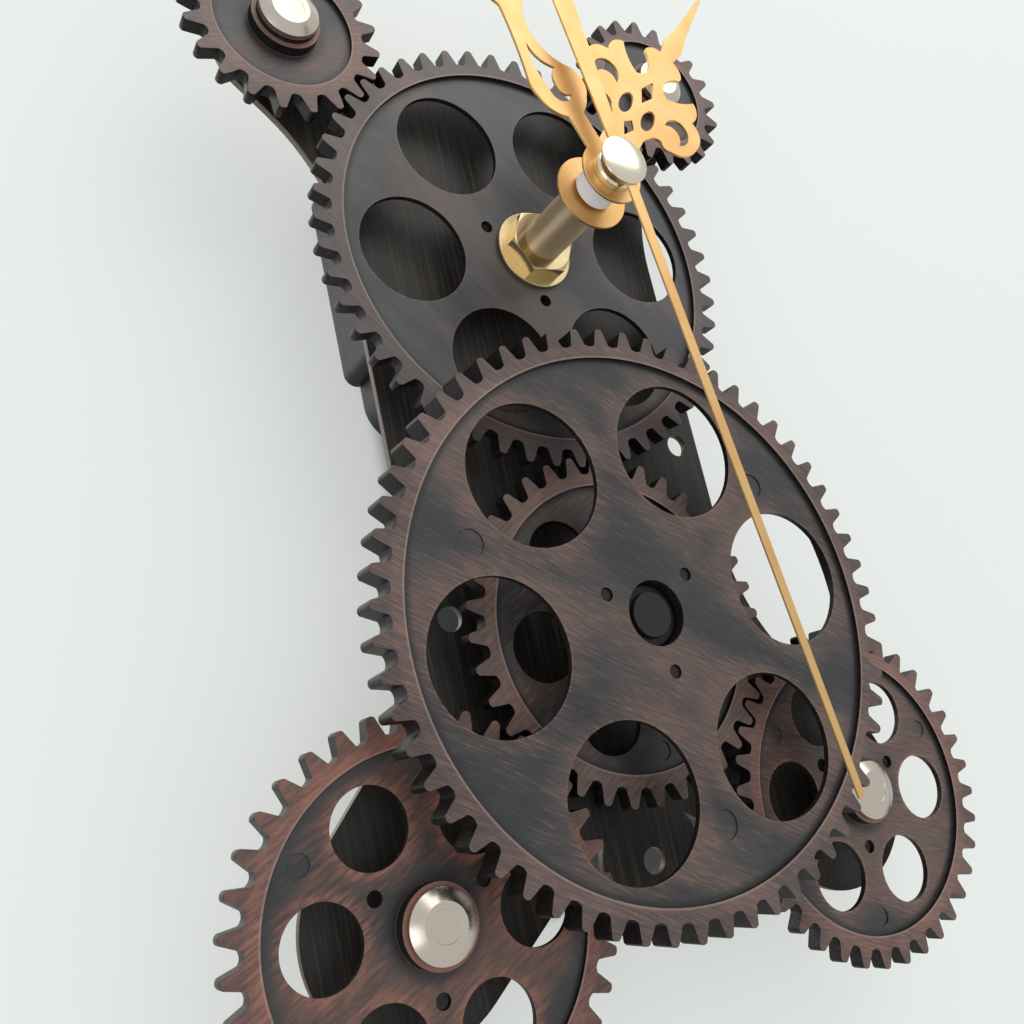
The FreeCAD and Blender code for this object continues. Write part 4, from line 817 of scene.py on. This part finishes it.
places = [from_hub(vertex.co) for vertex in blade.data.vertices]
reach = max(place.length for place in places)
tip = [place for place in places if place.length > reach - TIP_LENGTH]
along = sum(tip, Vector()).normalized()
across = Vector((along.z, 0, -along.x))
edit_vertices(blade, lambda co: from_hub(co).dot(along) > HUB_EDGE)
bpy.ops.transform.resize(value=(BLADE_NARROWING, 1, 1), orient_type="GLOBAL",
                         orient_matrix=(across, (0, 1, 0), along), orient_matrix_type="GLOBAL",
                         center_override=centre)
leave_edit()
finish_piece(soften(blade, HAND_EDGE), BODY_OF["second_hand"], gold, "second_hand")
print("second hand reaches to mm:", round(reach / MM, 1))

# %% [markdown]
# ## What holds the hands
# The hour and the minute hand sit on brass tubes, and the second hand on a thin steel shaft. A
# white nylon collar and a pale polished nut hold the minute hand. The cap over the end of the
# shaft has a round face: a quarter of an ellipse, drawn point by point and turned about the axis.

# %% Collar, nut, pipe, tubes and shaft
COLLAR_EDGE = 0.25
TUBE_EDGE = 0.08
collar = soft_copy("minute_collar", COLLAR_EDGE, 3)
finish_piece(collar, "minute_group", nylon, "minute_collar")
for node, slot, metal in (("minute_nut", "polished_brass", pale_brass),
                          ("second_pipe", "polished_brass", pale_brass),
                          ("hour_tube", "satin_brass", satin_brass),
                          ("minute_tube", "satin_brass", satin_brass),
                          ("second_shaft", "screw_steel", steel)):
    finish_piece(soft_copy(node, TUBE_EDGE), BODY_OF[node], metal, node)

# %% The domed cap of the second hand
DOME_POINTS = 10
DOME_FOOT = 0.25
FOOT_BREAK, FOOT_BREAK_LENGTH = 0.05, 0.08
back, front, rim = turned_sizes("second_cap")
dome = [(0, back), (rim - FOOT_BREAK, back), (rim, back + FOOT_BREAK_LENGTH), (rim, back + DOME_FOOT)]
for number in range(1, DOME_POINTS + 1):
    turn = math.pi / 2 * number / DOME_POINTS
    height = (front - back - DOME_FOOT) * math.sin(turn)
    dome.append((rim * math.cos(turn), back + DOME_FOOT + height))
second_cap = turned("second_cap_domed", axis_of("second_cap"), dome)
finish_piece(second_cap, "second_group", pale_brass, "second_cap")

# %% [markdown]
# ## Posts, hub and pins
# The posts and the hub are dark and mostly hidden. They show through the holes of the gears as
# plain black shapes, so a rounded edge and a fine moulded grain are all that they need.

# %% Dark pieces on the plate
POST_EDGE = 0.15
HUB_PART_EDGE = 0.12
for side in ["main"] + POSTS:
    node = f"{side}_post"
    finish_piece(soft_copy(node, POST_EDGE), "frame", dark_post, node)
for node in ("main_hub", "upper_gear_sleeve", "main_retaining_ring", "main_gear_pins"):
    finish_piece(soft_copy(node, HUB_PART_EDGE), BODY_OF[node], dark_hub, node)

# %% [markdown]
# ## The movement behind the plate
# The movement is a black moulded box with a battery bay and a setting knob, and a metal hanger is
# clamped between it and the plate. Nothing of it is decorated, but the eye finds it in every view
# from behind, so its screws have cross slots and the battery has its printed band.

# %% Case, cover and knob
for node, width in (("movement_case", 0.3), ("movement_rear_cover", 0.3), ("set_knob", 0.15)):
    finish_piece(soft_copy(node, width), BODY_OF[node], movement_black, node)

# %% Hanger and contacts
ZINC, ZINC_DARK, ZINC_PALE = (0.60, 0.61, 0.62), (0.56, 0.57, 0.58), (0.68, 0.69, 0.70)
CRYSTALS = 0.35
zinc = Finish("hanger_zinc", ZINC, Metallic=1.0)
cells = zinc.node("TexVoronoi", zinc.coordinates.outputs["Object"])
cells.inputs["Scale"].default_value = CRYSTALS / MM
crystal = cells.outputs["Color"]
zinc.roughness(crystal, 0.28, 0.46)
zinc.colour(zinc.mix(zinc.times(crystal, 0.5), ZINC_DARK, ZINC_PALE))
finish_piece(soft_copy("hanger_plate", 0.12), "frame", zinc.material, "hanger_plate")
finish_piece(soft_copy("battery_contacts", 0.06), "frame", nickel, "battery_contacts")

# %% [markdown]
# ## The wrap of the battery
# A battery is a steel can in a printed sleeve, and the sleeve leaves both ends bare. Its colours
# follow one number: how far along the battery a point lies, as a share of the length from its
# lower end.

# %% Battery with its wrap
CAN_EDGE = 0.25
FILM = 0.5
WRAP_BLACK, WRAP_COPPER, CAN_STEEL = (0.016, 0.016, 0.018), (0.55, 0.30, 0.10), (0.70, 0.69, 0.67)
BAND_BOTTOM, BAND_TOP = (0.715, 0.725), (0.955, 0.950)
TOP_END, BOTTOM_END = (0.965, 0.968), (0.010, 0.006)
low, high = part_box("aa_battery")
wrap = Finish("battery_wrap", (0.02, 0.02, 0.022), Roughness=0.3)
place = wrap.coordinates.outputs["Object"]
share = wrap.math("DIVIDE", wrap.math("SUBTRACT", wrap.split(place)[2], low.z), high.z - low.z)
band = wrap.times(wrap.step(share, *BAND_BOTTOM), wrap.step(share, *BAND_TOP))
bare = wrap.math("ADD", wrap.step(share, *TOP_END), wrap.step(share, *BOTTOM_END), clamp=True)
metallic = wrap.math("MAXIMUM", bare, wrap.times(band, 0.8))
wrap.put(wrap.shader.inputs["Metallic"], metallic)
wrap.colour(wrap.mix(bare, wrap.mix(band, WRAP_BLACK, WRAP_COPPER), CAN_STEEL))
wrap.roughness(wrap.noise(place, FILM, detail=4.0), 0.22, 0.34)
battery = soft_copy("aa_battery", CAN_EDGE, 3)
finish_piece(battery, "frame", wrap.material, "aa_battery")

# %% [markdown]
# ## Screws with cross slots
# Nine screws show from behind. Each loaded screw gives the place of its head, and the cross is cut
# into it with a boolean, one straight bar across the other.

# %% Cut cross slots into the screws
SCREW_EDGE = 0.12


def islands(node):
    """The boxes of the separate solids in one loaded node, as (low corner, high corner)."""
    copy = bpy.data.objects.new("islands", frame["nodes"][node].data.copy())
    bpy.context.scene.collection.objects.link(copy)
    edit_all(copy)
    bpy.ops.mesh.remove_doubles(threshold=MERGE_DISTANCE)
    bpy.ops.mesh.separate(type="LOOSE")
    leave_edit()
    boxes = []
    for part in list(bpy.context.selected_objects):
        corners = [vertex.co for vertex in part.data.vertices]
        boxes.append((Vector([min(c[i] for c in corners) for i in range(3)]),
                      Vector([max(c[i] for c in corners) for i in range(3)])))
        bpy.data.objects.remove(part)
    return boxes


def slotted(node, slot_width, slot_length, slot_depth):
    """A copy of a node of screws with a cross slot in each head, which faces the rear. The slot's
    sizes are in millimetres."""
    piece = soft_copy(node, SCREW_EDGE, 3, name=f"{node}_slotted")
    boxes = islands(node)
    for low, high in boxes:
        middle = Vector(((low.x + high.x) / 2, high.y, (low.z + high.z) / 2))
        for width, height in ((slot_length, slot_width), (slot_width, slot_length)):
            bpy.ops.mesh.primitive_cube_add(size=MM, location=middle)
            bar = bpy.context.object
            bar.scale = (width, 2 * slot_depth, height)
            bpy.ops.object.transform_apply(scale=True)
            cut_away(piece, bar)
    smooth(piece)
    finish_piece(piece, "frame", steel, node)
    print(node, "with a slot each:", len(boxes))


slotted("cover_screws", slot_width=0.55, slot_length=2.5, slot_depth=0.6)
slotted("post_screws", slot_width=0.7, slot_length=3.4, slot_depth=0.9)

# %% [markdown]
# ## The wall
# The wall stays plain and pale. It takes the clock's shadow, and half of its white is a glow that
# only the camera and mirror-like surfaces see, so that it throws no light on the clock. The wall
# doesn't block light either, so the back of the clock is lit as well, and it is seen only from its
# front, so that views from behind look through it.
# Right behind the plate the wall doesn't glow and is painted dark: a painted shadow, because the
# narrow gap there shows dark through the holes of the plate. Each pair below says, in metres,
# where one side of that shadow starts and where it is full.

# %% Wall
WALL_SIZE = 16
WALL_GAP = 0.4 * MM
WALL_HEIGHT = -0.1
bpy.ops.mesh.primitive_plane_add(size=WALL_SIZE, rotation=(math.pi / 2, 0, 0),
                                 location=(0, cad_high.y + WALL_GAP, WALL_HEIGHT))
wall = bpy.context.object
wall.name = "pale_wall"
bpy.ops.object.transform_apply(location=True, rotation=True)
wall.visible_shadow = False
wall.visible_diffuse = False
print("wall behind the clock by mm:", round(WALL_GAP / MM, 1))

# %% Wall paint with the painted shadow
WALL_COLOUR = (0.86, 0.88, 0.865)
SHADE_COLOUR = (0.16, 0.17, 0.17)
SHADE_LEFT, SHADE_RIGHT = (-0.030, -0.024), (0.044, 0.034)
SHADE_LOW, SHADE_HIGH = (-0.159, -0.155), (0.012, -0.002)
paint = Finish("wall_paint", WALL_COLOUR, Roughness=0.9)
place = paint.coordinates.outputs["Object"]
x, _, z = paint.split(place)
sideways = paint.times(paint.step(x, *SHADE_LEFT), paint.step(x, *SHADE_RIGHT))
upright = paint.times(paint.step(z, *SHADE_LOW), paint.step(z, *SHADE_HIGH))
behind = paint.times(sideways, upright)
paint.colour(paint.mix(behind, WALL_COLOUR, SHADE_COLOUR))
paint.bump(paint.noise(place, 0.02, detail=2.0), 0.3, 0.2)

# %% Wall glow, and the wall seen from its front only
WALL_GLOW = 0.5
GLOW_COLOUR = (0.85, 0.875, 0.84)
path = paint.node("LightPath").outputs
mirrored = paint.math("MAXIMUM", path["Is Glossy Ray"], path["Is Transmission Ray"])
seen = paint.math("MAXIMUM", path["Is Camera Ray"], mirrored)
open_wall = paint.times(paint.math("SUBTRACT", 1.0, behind), WALL_GLOW)
glow = paint.node("Emission", GLOW_COLOUR, 1.0).outputs[0]
pale = paint.node("MixShader", paint.times(seen, open_wall), paint.shader.outputs[0], glow)
clear = paint.node("BsdfTransparent").outputs[0]
from_behind = paint.node("NewGeometry").outputs["Backfacing"]
one_sided = paint.node("MixShader", from_behind, pale.outputs[0], clear)
paint.put(paint.tree.nodes["Material Output"].inputs["Surface"], one_sided.outputs[0])
wall.data.materials.append(paint.material)
wall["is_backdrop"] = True

# %% [markdown]
# ## The light
# An even, nearly white sky gives most of the light. One large soft box above the right shoulder of
# the clock is the key that draws the shadows, a second one lights the back, and a weak one fills
# the shadows from the left.

# %% Light
WORLD_LIGHT = 0.70
WORLD_COLOUR = (0.97, 1.0, 0.985, 1)
KEY_POWER, REAR_POWER, FILL_POWER = 4.6, 8.0, 1.2
KEY_SIZE, REAR_SIZE, FILL_SIZE = 0.95, 0.60, 0.50
KEY_PLACE, REAR_PLACE, FILL_PLACE = (0.25, -0.55, 0.80), (-0.40, 0.80, 0.50), (-0.70, -0.50, -0.20)
CENTRE = Vector((0, -0.02, -0.09))
world = bpy.data.worlds.new("studio")
bpy.context.scene.world = world
world.use_nodes = True
background = world.node_tree.nodes["Background"]
background.inputs["Color"].default_value = WORLD_COLOUR
background.inputs["Strength"].default_value = WORLD_LIGHT


def lamp(name, offset, size, power, colour=(1, 1, 1)):
    """A square soft box that looks at the middle of the clock from the offset."""
    bpy.ops.object.light_add(type="AREA", location=CENTRE + Vector(offset))
    made = bpy.context.object
    made.name = name
    made.data.size = size
    made.data.energy = power
    made.data.color = colour
    made.rotation_euler = (-Vector(offset)).to_track_quat("-Z", "Y").to_euler()


lamp("key_softbox", KEY_PLACE, KEY_SIZE, KEY_POWER, (1, 0.98, 0.95))
lamp("rear_softbox", REAR_PLACE, REAR_SIZE, REAR_POWER)
lamp("low_fill", FILL_PLACE, FILL_SIZE, FILL_POWER, (0.95, 0.98, 1))

# %% [markdown]
# ## The camera
# The photograph was taken from close by, below and to the left of the clock. The camera's place,
# its two directions and its focal length were worked out from where the gear axes and the bushing
# appear in it.

# %% Camera
CAMERA_PLACE = Vector((-0.1128, -0.1578, -0.1258))
CAMERA_FORWARD = Vector((0.5263, 0.8217, 0.2186))
CAMERA_UP = Vector((0.0696, -0.2978, 0.9521))
FOCAL_LENGTH, SENSOR_WIDTH = 36.09, 36
NEAREST, FARTHEST = 0.005, 20
camera_data = bpy.data.cameras.new("camera")
camera = bpy.data.objects.new("camera", camera_data)
bpy.context.scene.collection.objects.link(camera)
forward = CAMERA_FORWARD.normalized()
right = forward.cross(CAMERA_UP).normalized()
up = right.cross(forward)
stand = Matrix((right, up, -forward)).transposed().to_4x4()
stand.translation = CAMERA_PLACE
camera.matrix_world = stand
camera_data.sensor_width = SENSOR_WIDTH
camera_data.lens = FOCAL_LENGTH
camera_data.clip_start = NEAREST
camera_data.clip_end = FARTHEST
print("camera in mm:", [round(v / MM, 1) for v in CAMERA_PLACE])
bpy.context.scene.camera = camera
bpy.context.scene.view_settings.view_transform = "Standard"

# %% Visual size of the dressed clock
low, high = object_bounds()
print("visual size in mm:", [round(v / MM, 1) for v in high - low])
